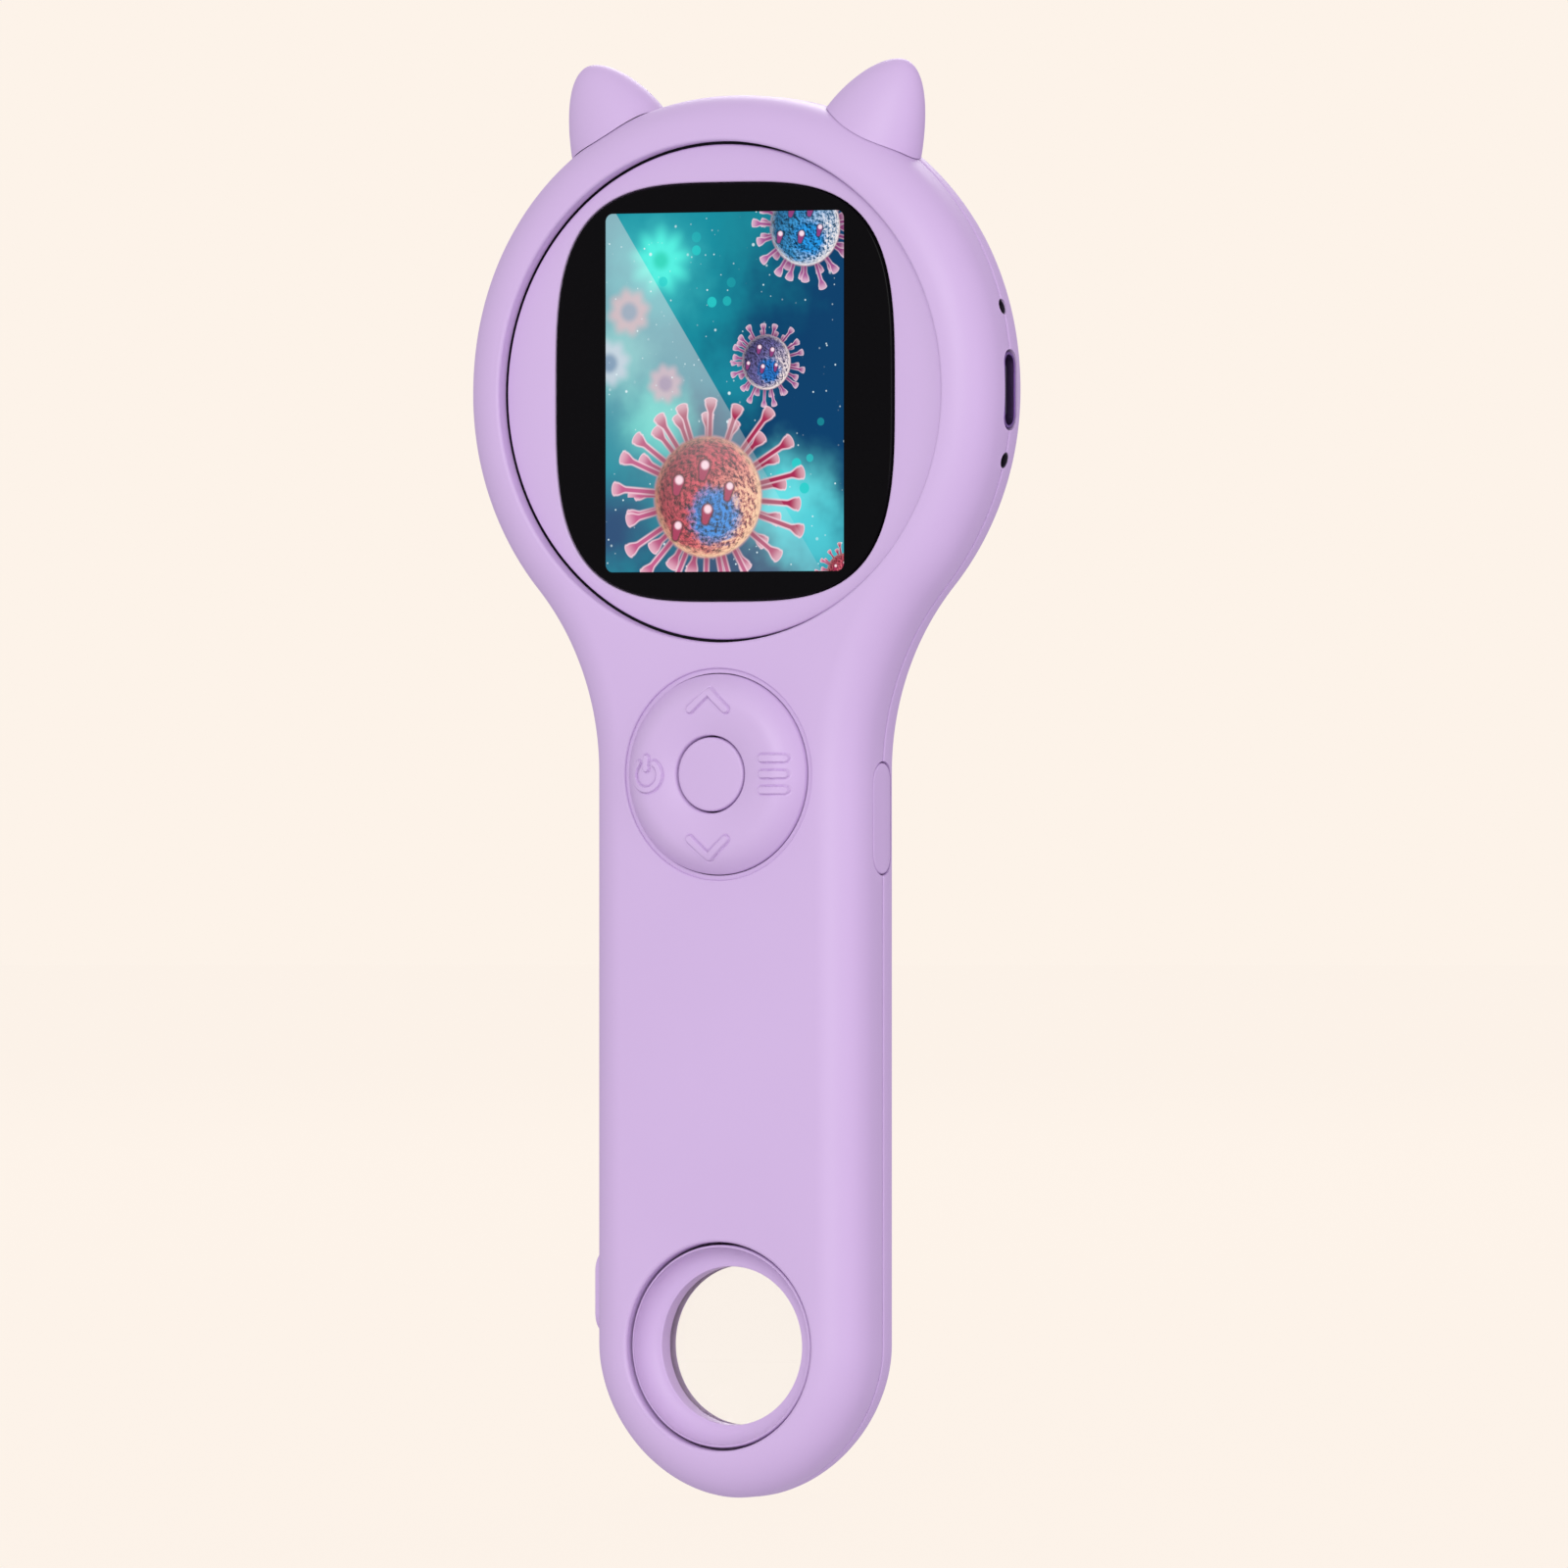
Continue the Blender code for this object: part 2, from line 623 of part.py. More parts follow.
def build_case(cuts, pockets):
    front = add_object("front_shell", case_solid(front_levels()), lilac())
    tube = EYE_OPENING_RADIUS + EYE_TUBE_WALL
    foot = -FRONT_DEPTH + 0.5 * WALL
    adds = [ring(tube, EYE_OPENING_RADIUS - WALL, foot, -SEAM_Y, (0.0, EYE_HEIGHT), ROUND_STEPS)]
    for post in POSTS:
        adds.append(screw_post(foot, post))
    adds = add_helper("front_adds", joined(*adds))
    boolean(front, adds, "UNION")
    outside = -FRONT_DEPTH - WALL
    front_cuts = [
        disc(OPENING_RADIUS, outside, -SEAM_Y, (0.0, HEAD_HEIGHT), FINE_STEPS),
        disc(PAD_RADIUS + PAD_MOAT, outside, outside + 3.0 * WALL, (0.0, PAD_HEIGHT), FINE_STEPS),
        disc(EYE_OPENING_RADIUS, outside, WALL, (0.0, EYE_HEIGHT), FINE_STEPS),
    ]
    boolean(front, add_helper("front_cuts", joined(*front_cuts)), "DIFFERENCE")

    back = add_object("rear_shell", case_solid(back_levels()), lilac())
    cone_base = EYE_LENS_BACK + CLEARANCE
    outer_low, outer_high = eye_cone(EYE_TUBE_WALL, cone_base, eye_cone_top())
    inner_low, inner_high = eye_cone(-WALL, cone_base, eye_cone_top())
    back_adds = [turned([inner_low, outer_low, outer_high, inner_high], (0.0, EYE_HEIGHT), FINE_STEPS)]
    for post in POSTS:
        back_adds.append(disc(POST_RADIUS, BOSS_END, BACK_DEPTH - 0.5 * WALL, post, SMALL_STEPS))
    back_adds = add_helper("rear_adds", joined(*back_adds))
    boolean(back, back_adds, "UNION")
    start, end = eye_cone(0.0, EYE_LENS_BACK - WALL, BACK_DEPTH + WALL)
    flare = turned([(0.0, start[1]), start, end, (0.0, end[1])], (0.0, EYE_HEIGHT), FINE_STEPS)
    camera = disc(CAMERA_HOLE_RADIUS, BACK_DEPTH - 2.0 * WALL, BACK_DEPTH + WALL, (0.0, HEAD_HEIGHT))
    back_cuts = [flare, camera]
    for post in POSTS:
        profile = [
            (0.0, BOSS_END - WALL), (SCREW_ROOM, BOSS_END - WALL), (SCREW_ROOM, SCREW_SEAT),
            (SCREW_HEAD_RADIUS + CLEARANCE, SCREW_SEAT),
            (SCREW_HEAD_RADIUS + CLEARANCE, BACK_DEPTH + WALL), (0.0, BACK_DEPTH + WALL),
        ]
        back_cuts.append(turned(profile, post, SMALL_STEPS))
    boolean(back, add_helper("rear_cuts", joined(*back_cuts)), "DIFFERENCE")
    for shell in (front, back):
        boolean(shell, cuts, "DIFFERENCE")
        boolean(shell, pockets, "DIFFERENCE")


def ear_mesh(side):
    """A soft cone with an oval section, leaning out, whose foot is inside the head's rim."""
    rings = []
    steps = 6
    around = 20
    lean = Vector((side * math.sin(EAR_LEAN), 0.0, math.cos(EAR_LEAN)))
    across = Vector((lean.z, 0.0, -lean.x))
    depth = Vector((0.0, 1.0, 0.0))
    rim = HEAD_RADIUS - EAR_FOOT_DEPTH
    foot = Vector((side * rim * math.sin(EAR_ANGLE), 0.0, HEAD_HEIGHT + rim * math.cos(EAR_ANGLE)))
    for step in range(steps + 1):
        share = step / steps
        height = (1.0 - (1.0 - share) ** 1.6) * EAR_HEIGHT
        swell = max(1.0 - (height / EAR_HEIGHT) ** 2.1, 0.0) ** 0.72
        swell = max(swell, 0.06)
        points = []
        for turn in range(around):
            angle = math.tau * turn / around
            arm = across * math.cos(angle) * EAR_HALF_WIDTH + depth * math.sin(angle) * EAR_HALF_DEPTH
            points.append(foot + lean * height + arm * swell)
        rings.append(points)
    return bridged(rings)


def build_ears():
    clear_of_case = add_helper("ear_cut", grown_case(CLEARANCE))
    for side, name in ((-1, "ear_left"), (1, "ear_right")):
        ear = add_object(name, ear_mesh(side), lilac())
        boolean(ear, clear_of_case, "DIFFERENCE")
        boolean(ear, add_helper(f"{name}_peg", ear_peg(side, EAR_PEG_RADIUS)), "UNION")


# ---------------------------------------------------------------- display and boards


def build_display():
    centre = (0.0, HEAD_HEIGHT)
    surround = disc(OPENING_RADIUS - CLEARANCE, SURROUND_FRONT, SURROUND_BACK, centre, FINE_STEPS)
    surround = add_object("display_surround", surround, lilac())
    hole = squircle(WINDOW_WIDTH + 2.0 * CLEARANCE, WINDOW_HEIGHT + 2.0 * CLEARANCE, centre)
    hole = slab(hole, SURROUND_FRONT - WALL, SURROUND_BACK + WALL)
    boolean(surround, add_helper("surround_cut", hole), "DIFFERENCE")
    window = slab(squircle(WINDOW_WIDTH, WINDOW_HEIGHT, centre), SURROUND_FRONT, SURROUND_BACK)
    black = material("window_glass", (0.006, 0.006, 0.006), 0.08)
    add_object("display_window", window, black, smooth=False)

    bracket = disc(BRACKET_RADIUS, BRACKET_FRONT, BRACKET_FRONT + BRACKET_THICKNESS, centre, FINE_STEPS)
    bracket = add_object("display_bracket", bracket, black_plastic())
    width = PANEL_WIDTH + 2.0 * CLEARANCE
    height = PANEL_HEIGHT + 2.0 * CLEARANCE
    hole = slab(rectangle(width, height, centre), BRACKET_FRONT - WALL, PANEL_BACK + WALL)
    boolean(bracket, add_helper("bracket_cut", hole), "DIFFERENCE")
    panel = slab(rectangle(PANEL_WIDTH, PANEL_HEIGHT, centre), BRACKET_FRONT, PANEL_BACK)
    add_object("display_panel", panel, material("panel", (0.01, 0.2, 0.28), 0.1), smooth=False)
    shield = slab(rectangle(PANEL_WIDTH, PANEL_HEIGHT, centre), SHIELD_FRONT, SHIELD_FRONT + SHIELD_THICKNESS)
    add_object("display_shield", shield, steel(), smooth=False)


def build_boards():
    centre = (0.0, HEAD_HEIGHT)
    board = disc(HEAD_RADIUS - MAIN_BOARD_MARGIN, MAIN_BOARD_FRONT, MAIN_BOARD_BACK, centre, FINE_STEPS)
    board = add_object("main_board", board, board_green())
    port_width = PORT_OPENING_WIDTH
    port_inner = HEAD_RADIUS - PORT_SETBACK - PORT_DEPTH - CLEARANCE
    notch_x = 0.5 * (port_inner + HEAD_RADIUS)
    notch = block((notch_x, 0.0, HEAD_HEIGHT), (HEAD_RADIUS - port_inner, 4.0 * BOARD_THICKNESS, port_width))
    below = MAIN_BOARD_LOWEST - HEAD_HEIGHT + HEAD_RADIUS
    trim = block(
        (0.0, 0.0, MAIN_BOARD_LOWEST - 0.5 * below),
        (2.0 * HEAD_RADIUS, 4.0 * BOARD_THICKNESS, below),
    )
    boolean(board, add_helper("main_board_cut", joined(notch, trim)), "DIFFERENCE")

    chip_y = MAIN_BOARD_BACK + CLEARANCE + 0.5 * CHIP_THICKNESS
    sensor = block((0.0, chip_y, HEAD_HEIGHT), (SENSOR_SIZE, CHIP_THICKNESS, SENSOR_SIZE))
    add_object("image_sensor", sensor, material("sensor", (0.03, 0.03, 0.05), 0.2), smooth=False)
    chip_x = -CAMERA_TUBE_RADIUS - CAMERA_FLANGE - 0.3 * PROCESSOR_SIZE
    chip = block((chip_x, chip_y, HEAD_HEIGHT), (PROCESSOR_SIZE, CHIP_THICKNESS, PROCESSOR_SIZE))
    add_object("processor", chip, black_plastic(), smooth=False)

    key_centre = (0.0, PAD_HEIGHT)
    width = 2.0 * (HANDLE_HALF_WIDTH - KEY_BOARD_MARGIN)
    keys = slab(rectangle(width, KEY_BOARD_HEIGHT, key_centre), KEY_BOARD_FRONT, KEY_BOARD_BACK)
    add_object("key_board", keys, board_green(), smooth=False)
    top = MAIN_BOARD_LOWEST + RIBBON_OVERLAP
    bottom = PAD_HEIGHT + 0.5 * KEY_BOARD_HEIGHT - RIBBON_OVERLAP
    ribbon_y = 0.5 * (KEY_BOARD_BACK + MAIN_BOARD_FRONT)
    ribbon = block((0.0, ribbon_y, 0.5 * (top + bottom)), (RIBBON_WIDTH, RIBBON_THICKNESS, top - bottom))
    add_object("board_ribbon", ribbon, material("ribbon", (0.45, 0.2, 0.04), 0.4), smooth=False)


def build_battery():
    top = PAD_HEIGHT - 0.5 * KEY_BOARD_HEIGHT - CLEARANCE
    upper = top - CLEARANCE
    middle = upper - 0.5 * BATTERY_LENGTH - BATTERY_ROOM
    pouch = block((0.0, 0.0, middle), (BATTERY_WIDTH, BATTERY_THICKNESS, BATTERY_LENGTH))
    edges = [edge for edge in pouch.edges if edge.calc_length() > 2.0 * BATTERY_CORNER]
    bmesh.ops.bevel(pouch, geom=edges, offset=0.5 * BATTERY_CORNER, segments=2, affect="EDGES")
    add_object("battery", pouch, material("battery_foil", (0.62, 0.63, 0.66), 0.35, metallic=0.8))
    place_y = KEY_BOARD_BACK + CLEARANCE + 0.5 * CONNECTOR_SIZE[1]
    place_z = top + 2.0 * CLEARANCE + 0.5 * CONNECTOR_SIZE[2]
    plug = block((0.0, place_y, place_z), CONNECTOR_SIZE)
    white = material("white_plastic", (0.8, 0.79, 0.76), 0.5)
    add_object("battery_connector", plug, white, smooth=False)


# ---------------------------------------------------------------- front keys


def build_direction_ring():
    centre = (0.0, PAD_HEIGHT)
    pivot = (0.0, PIVOT_Y, PAD_HEIGHT)
    middle = 0.5 * (MIDDLE_HOLE_RADIUS + PAD_RADIUS)
    half = 0.5 * (PAD_RADIUS - MIDDLE_HOLE_RADIUS)
    crown = []
    steps = 8
    for step in range(steps + 1):
        share = 2.0 * step / steps - 1.0
        fall = PAD_DIP if share < 0.0 else PAD_RISE - PAD_EDGE_RISE
        crown.append((middle + half * share, -FRONT_DEPTH - PAD_RISE + fall * share**2))
    flange = PAD_RADIUS + PAD_FLANGE
    profile = [(MIDDLE_HOLE_RADIUS, PAD_BACK)]
    profile += crown
    profile += [(PAD_RADIUS, PAD_SHOULDER), (flange, PAD_SHOULDER), (flange, PAD_BACK)]
    add_object("direction_ring", turned(profile, centre, FINE_STEPS), lilac(), origin=pivot)

    key_flange = MIDDLE_KEY_RADIUS + MIDDLE_KEY_FLANGE
    rubber_bore = key_flange + 2.0 * CLEARANCE
    rubber = ring(PAD_RADIUS - RUBBER_MARGIN, rubber_bore, RUBBER_FRONT, RUBBER_BACK, centre)
    add_object("rubber_pad", rubber, grey_rubber(), origin=pivot)

    key_top = -FRONT_DEPTH - PAD_RISE + PAD_DIP
    profile = [
        (0.0, key_top), (MIDDLE_KEY_RADIUS - MIDDLE_KEY_EDGE, key_top),
        (MIDDLE_KEY_RADIUS, key_top + MIDDLE_KEY_EDGE),
        (MIDDLE_KEY_RADIUS, RUBBER_FRONT), (key_flange, RUBBER_FRONT),
        (key_flange, RUBBER_BACK), (0.0, RUBBER_BACK),
    ]
    place = (0.0, RUBBER_BACK, PAD_HEIGHT)
    add_object("middle_key", turned(profile, centre, ROUND_STEPS), lilac(), origin=place)

    names = {"switch_right": 0.0, "switch_up": 0.25, "switch_left": 0.5, "switch_down": 0.75}
    places = {"switch_middle": centre}
    for name, share in names.items():
        angle = math.tau * share
        reach = PAD_RADIUS - DOME_MARGIN
        places[name] = (reach * math.cos(angle), PAD_HEIGHT + reach * math.sin(angle))
    for name, place in places.items():
        profile = [
            (0.0, DOME_FRONT), (0.6 * DOME_RADIUS, DOME_FRONT + 0.25 * DOME_HEIGHT),
            (DOME_RADIUS, DOME_FRONT + 0.75 * DOME_HEIGHT), (DOME_RADIUS, DOME_FRONT + DOME_HEIGHT),
            (0.0, DOME_FRONT + DOME_HEIGHT),
        ]
        add_object(name, turned(profile, place, SMALL_STEPS), steel())


# ---------------------------------------------------------------- side keys


def side_key(name, side, height, length, width, proud):
    """A capsule key through the wall, with a wider rim behind it that keeps it in."""
    wall_inside = HANDLE_HALF_WIDTH - WALL
    rim_out = wall_inside - CLEARANCE
    rim_in = rim_out - SIDE_KEY_RIM_THICKNESS
    face = HANDLE_HALF_WIDTH + proud
    stem = side_slab(capsule(width, length, (0.0, height)), side * rim_in, side * (face + WALL))
    key = add_object(name, stem, lilac(), origin=(side * rim_out, 0.0, height))
    if proud > 0.0:
        soft = 0.35 * proud
        outline = capsule(width - 2.0 * soft, length - 2.0 * soft, (0.0, height))
        rings = []
        for reach, shape in ((rim_in, capsule(width, length, (0.0, height))),
                             (face - soft, capsule(width, length, (0.0, height))), (face, outline)):
            rings.append([(side * reach, y, z) for y, z in shape])
        limit = bridged(rings)
    else:
        limit = grown_case(0.0)
    boolean(key, add_helper(f"{name}_limit", limit), "INTERSECT")
    wide = capsule(width + 2.0 * SIDE_KEY_RIM, length + 2.0 * SIDE_KEY_RIM, (0.0, height))
    rim = side_slab(wide, side * rim_in, side * rim_out)
    boolean(key, add_helper(f"{name}_rim", rim), "UNION")
    return rim_in


def build_side_keys():
    rim_in = side_key("right_key", 1, RIGHT_KEY_HEIGHT, RIGHT_KEY_LENGTH, RIGHT_KEY_WIDTH, 0.0)
    width, depth, height = RIGHT_SWITCH_SIZE
    y = KEY_BOARD_BACK + CLEARANCE + 0.5 * depth
    x = rim_in - RIGHT_SWITCH_ROOM - 0.5 * width
    switch = block((x, y, RIGHT_KEY_HEIGHT), RIGHT_SWITCH_SIZE)
    add_object("right_key_switch", switch, steel(), smooth=False)

    rim_in = side_key("left_key", -1, LEFT_KEY_HEIGHT, LEFT_KEY_LENGTH, LEFT_KEY_WIDTH, LEFT_KEY_PROUD)
    width, depth, height = LEFT_SWITCH_SIZE
    place_z = LEFT_KEY_HEIGHT + LEFT_SWITCH_RISE
    x = -(rim_in - LEFT_SWITCH_ROOM - 0.5 * width)
    switch = block((x, 0.0, place_z), LEFT_SWITCH_SIZE)
    add_object("left_key_switch", switch, steel(), smooth=False)


# ---------------------------------------------------------------- port and small holes


def build_port():
    face = HEAD_RADIUS - PORT_SETBACK
    back = face - PORT_DEPTH
    wide = PORT_OPENING_WIDTH - 2.0 * CLEARANCE
    high = PORT_OPENING_HEIGHT - 2.0 * CLEARANCE
    shell = side_slab(capsule(high, wide, (0.0, HEAD_HEIGHT)), back, face)
    socket = add_object("usb_socket", shell, steel())
    thin = 2.0 * PORT_SHELL
    inside = capsule(high - thin, wide - thin, (0.0, HEAD_HEIGHT))
    hollow = side_slab(inside, back + PORT_FLOOR, face + WALL)
    boolean(socket, add_helper("usb_hollow", hollow), "DIFFERENCE")
    tongue_root = back + 0.5 * PORT_FLOOR
    tongue_tip = face - PORT_TONGUE_SETBACK
    tongue = block(
        (0.5 * (tongue_root + tongue_tip), 0.0, HEAD_HEIGHT),
        (tongue_tip - tongue_root, PORT_TONGUE_THICKNESS, PORT_TONGUE_WIDTH),
    )
    boolean(socket, add_helper("usb_tongue", tongue), "UNION")

    pipe_radius = SMALL_HOLE_RADIUS - CLEARANCE
    height = HEAD_HEIGHT + LIGHT_PIPE_RISE
    surface = math.sqrt(HEAD_RADIUS**2 - LIGHT_PIPE_RISE**2)
    pipe = round_hole_x(pipe_radius, height, HEAD_RADIUS - LIGHT_PIPE_TAIL, surface - CLEARANCE)
    add_object("light_pipe", pipe, clear_glass("clear_pipe"))

    height = HEAD_HEIGHT - RESET_DROP
    surface = math.sqrt(HEAD_RADIUS**2 - RESET_DROP**2)
    tip = surface - PLUNGER_SETBACK
    plunger = round_hole_x(pipe_radius, height, tip - PLUNGER_LENGTH, tip)
    plunger = add_object("reset_plunger", plunger, black_plastic(), origin=(tip, 0.0, height))
    collar_in = tip - PLUNGER_LENGTH + PLUNGER_COLLAR
    collar = round_hole_x(pipe_radius + PLUNGER_COLLAR, height, collar_in, collar_in + PLUNGER_COLLAR)
    boolean(plunger, add_helper("reset_collar", collar), "UNION")


# ---------------------------------------------------------------- magnifier


def lens_profile(radius, low_y, high_y, crown, steps=3):
    """A lens that bulges on both faces, as a (radius, y) profile."""
    front = []
    for step in range(steps + 1):
        share = step / steps
        front.append((radius * share, low_y - crown * (1.0 - share**2)))
    back = [(r, low_y + high_y - y) for r, y in reversed(front)]
    return front + back


def build_magnifier():
    centre = (0.0, EYE_HEIGHT)
    outer = EYE_OPENING_RADIUS - CLEARANCE
    mouth = -FRONT_DEPTH + EYE_RING_MOUTH_DEPTH
    profile = [(outer, EYE_RING_BACK), (EYE_RING_BORE, EYE_RING_BACK), (EYE_RING_BORE, mouth)]
    steps = 4
    for step in range(1, steps):
        angle = 0.5 * math.pi * step / steps
        slope = (outer - EYE_RING_BORE - EYE_RING_EDGE) * (1.0 - math.cos(angle))
        drop = (mouth - EYE_RING_FRONT) * (1.0 - math.sin(angle))
        profile.append((EYE_RING_BORE + slope, EYE_RING_FRONT + drop))
    profile += [(outer - EYE_RING_EDGE, EYE_RING_FRONT), (outer, EYE_RING_FRONT + EYE_RING_EDGE)]
    add_object("magnifier_ring", turned(profile, centre, FINE_STEPS), lilac())
    profile = lens_profile(outer, EYE_LENS_FRONT, EYE_LENS_BACK, 0.0)
    inner = EYE_RING_BORE - CLEARANCE
    bulge = lens_profile(inner, EYE_LENS_FRONT, EYE_LENS_BACK, EYE_LENS_CROWN)
    half = len(bulge) // 2
    profile = bulge[:half] + [(outer, EYE_LENS_FRONT), (outer, EYE_LENS_BACK)] + bulge[half:]
    add_object("magnifier_lens", turned(profile, centre, FINE_STEPS), clear_glass("clear_lens"))


# ---------------------------------------------------------------- camera


def build_camera():
    centre = (0.0, HEAD_HEIGHT)
    flange = CAMERA_TUBE_RADIUS + CAMERA_FLANGE
    flange_back = CAMERA_TUBE_BASE + CAMERA_FLANGE_THICKNESS
    profile = [
        (CAMERA_TUBE_BORE, CAMERA_TUBE_BASE), (flange, CAMERA_TUBE_BASE), (flange, flange_back),
        (CAMERA_TUBE_RADIUS, flange_back), (CAMERA_TUBE_RADIUS, CAMERA_TUBE_END),
        (CAMERA_TUBE_BORE, CAMERA_TUBE_END),
    ]
    add_object("camera_tube", turned(profile, centre), black_plastic())

    axis_point = (0.0, FOCUS_RING_BASE, HEAD_HEIGHT)
    add_object("focus_ring", focus_ring_mesh(centre), lilac(), origin=axis_point)

    barrel_middle = 0.5 * (CAMERA_TUBE_BASE + CAMERA_TUBE_END) + BARREL_FORWARD
    low = barrel_middle - 0.5 * BARREL_LENGTH
    high = barrel_middle + 0.5 * BARREL_LENGTH
    barrel = ring(BARREL_RADIUS, BARREL_BORE, low, high, centre, ROUND_STEPS)
    place = (0.0, barrel_middle, HEAD_HEIGHT)
    add_object("lens_barrel", barrel, black_plastic(), origin=place)
    lens_low = barrel_middle - 0.5 * OBJECTIVE_THICKNESS + OBJECTIVE_CROWN
    lens_high = barrel_middle + 0.5 * OBJECTIVE_THICKNESS - OBJECTIVE_CROWN
    profile = lens_profile(BARREL_BORE - CLEARANCE, lens_low, lens_high, OBJECTIVE_CROWN)
    glass = clear_glass("objective_glass")
    add_object("objective_lens", turned(profile, centre, ROUND_STEPS), glass, origin=place)

    bore = BARREL_BORE + CLEARANCE
    board = ring(LAMP_BOARD_RADIUS, bore, LAMP_BOARD_Y, LAMP_BOARD_Y + BOARD_THICKNESS, centre)
    add_object("lamp_board", board, material("board_white", (0.75, 0.76, 0.74), 0.5))
    lamp_look = material("lamp", (0.95, 0.9, 0.62), 0.3)
    for number in range(LAMP_COUNT):
        angle = math.tau * (number + 0.5) / LAMP_COUNT
        place = (LAMP_CIRCLE * math.cos(angle), HEAD_HEIGHT + LAMP_CIRCLE * math.sin(angle))
        lamp = disc(LAMP_RADIUS, LAMP_Y, LAMP_Y + LAMP_HEIGHT, place, SMALL_STEPS)
        add_object(f"lamp_{number + 1}", lamp, lamp_look)
    diffuser = ring(LAMP_BOARD_RADIUS, bore, DIFFUSER_Y, DIFFUSER_Y + DIFFUSER_THICKNESS, centre)
    add_object("lamp_diffuser", diffuser, material("diffuser", (0.9, 0.9, 0.92), 0.4, alpha=0.7))

    base = FOCUS_RING_END + CLEARANCE
    neck = CAMERA_TUBE_RADIUS + CLEARANCE
    inner = LAMP_BOARD_RADIUS + CLEARANCE
    step_y = CAMERA_TUBE_END - CLEARANCE
    profile = [
        (neck, base), (HOOD_RADIUS, base), (HOOD_RADIUS, 0.5 * (base + HOOD_RIM_Y)),
        (HOOD_RIM_RADIUS, HOOD_RIM_Y), (HOOD_RIM_RADIUS - HOOD_WALL, HOOD_RIM_Y),
        (inner, HOOD_RIM_Y - 0.5 * HOOD_WALL), (inner, step_y), (neck, step_y),
    ]
    add_object("clear_hood", turned(profile, centre, FINE_STEPS), clear_glass("hood_acrylic"))


def focus_ring_mesh(centre):
    """A ring with grip ribs: the outer wall steps in and out round the turn."""
    bore = CAMERA_TUBE_RADIUS + CLEARANCE
    edge = FOCUS_RING_EDGE
    levels = [
        (bore, FOCUS_RING_BASE, 0.0), (FOCUS_RING_RADIUS - edge, FOCUS_RING_BASE, 0.0),
        (FOCUS_RING_RADIUS, FOCUS_RING_BASE + edge, 1.0), (FOCUS_RING_RADIUS, FOCUS_RING_END - edge, 1.0),
        (FOCUS_RING_RADIUS - edge, FOCUS_RING_END, 0.0), (bore, FOCUS_RING_END, 0.0),
    ]
    rings = []
    for radius, y, ribbed in levels:
        points = []
        for step in range(2 * FOCUS_RIBS):
            angle = math.tau * step / (2 * FOCUS_RIBS)
            reach = radius - ribbed * FOCUS_RIB_DEPTH * (step % 2)
            points.append((centre[0] + reach * math.cos(angle), y, centre[1] + reach * math.sin(angle)))
        rings.append(points)
    return bridged(rings, loop=True)


# ---------------------------------------------------------------- fasteners


def build_screws():
    under_head = SCREW_TOP - SCREW_HEAD_HEIGHT
    for number, post in enumerate(POSTS, start=1):
        profile = [
            (0.0, SCREW_TIP), (SCREW_SHANK_RADIUS, SCREW_TIP + SCREW_SHANK_RADIUS),
            (SCREW_SHANK_RADIUS, under_head), (SCREW_HEAD_RADIUS, under_head),
            (SCREW_HEAD_RADIUS, SCREW_TOP - SCREW_HEAD_EDGE),
            (SCREW_HEAD_RADIUS - SCREW_HEAD_EDGE, SCREW_TOP),
            (0.0, SCREW_TOP),
        ]
        add_object(f"case_screw_{number}", turned(profile, post, SMALL_STEPS), steel())


def main():
    clear_scene()
    cuts = add_helper("side_cuts", side_cuts())
    pockets = add_helper("key_pockets", key_pockets())
    build_case(cuts, pockets)
    build_ears()
    build_display()
    build_boards()
    build_battery()
    build_direction_ring()
    build_side_keys()
    build_port()
    build_magnifier()
    build_camera()
    build_screws()


main()
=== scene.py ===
"""Looks for a child's handheld digital microscope, laid out as a Blender add-on.

+Z runs up the handle, the display faces -Y and the port is on the +X side. Every piece is
made in place, in metres, on the packed model's frame.
"""

import math
from functools import partial

import bmesh
import bpy
from bpy.props import FloatProperty, FloatVectorProperty, IntProperty, PointerProperty
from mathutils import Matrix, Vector
from mathutils.geometry import delaunay_2d_cdt


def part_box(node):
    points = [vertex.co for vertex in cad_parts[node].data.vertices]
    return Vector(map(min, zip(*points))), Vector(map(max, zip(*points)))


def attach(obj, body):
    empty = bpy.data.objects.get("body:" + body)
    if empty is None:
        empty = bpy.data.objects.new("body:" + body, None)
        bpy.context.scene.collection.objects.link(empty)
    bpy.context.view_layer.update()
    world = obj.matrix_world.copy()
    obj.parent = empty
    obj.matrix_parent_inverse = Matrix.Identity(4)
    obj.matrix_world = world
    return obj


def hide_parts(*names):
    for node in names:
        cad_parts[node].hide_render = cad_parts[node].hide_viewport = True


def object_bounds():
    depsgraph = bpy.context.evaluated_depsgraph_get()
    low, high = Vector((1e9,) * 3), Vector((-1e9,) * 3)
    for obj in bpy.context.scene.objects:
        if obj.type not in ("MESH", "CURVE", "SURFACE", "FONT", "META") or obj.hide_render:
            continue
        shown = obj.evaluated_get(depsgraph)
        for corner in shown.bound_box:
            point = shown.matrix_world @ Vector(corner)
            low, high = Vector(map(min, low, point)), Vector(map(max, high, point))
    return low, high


bl_info = {
    "name": "Handheld microscope looks",
    "version": (1, 0, 0),
    "blender": (4, 5, 0),
    "location": "View3D > Sidebar > Microscope",
    "description": "Builds the finished look of a handheld microscope on its packed model",
    "category": "Object",
}

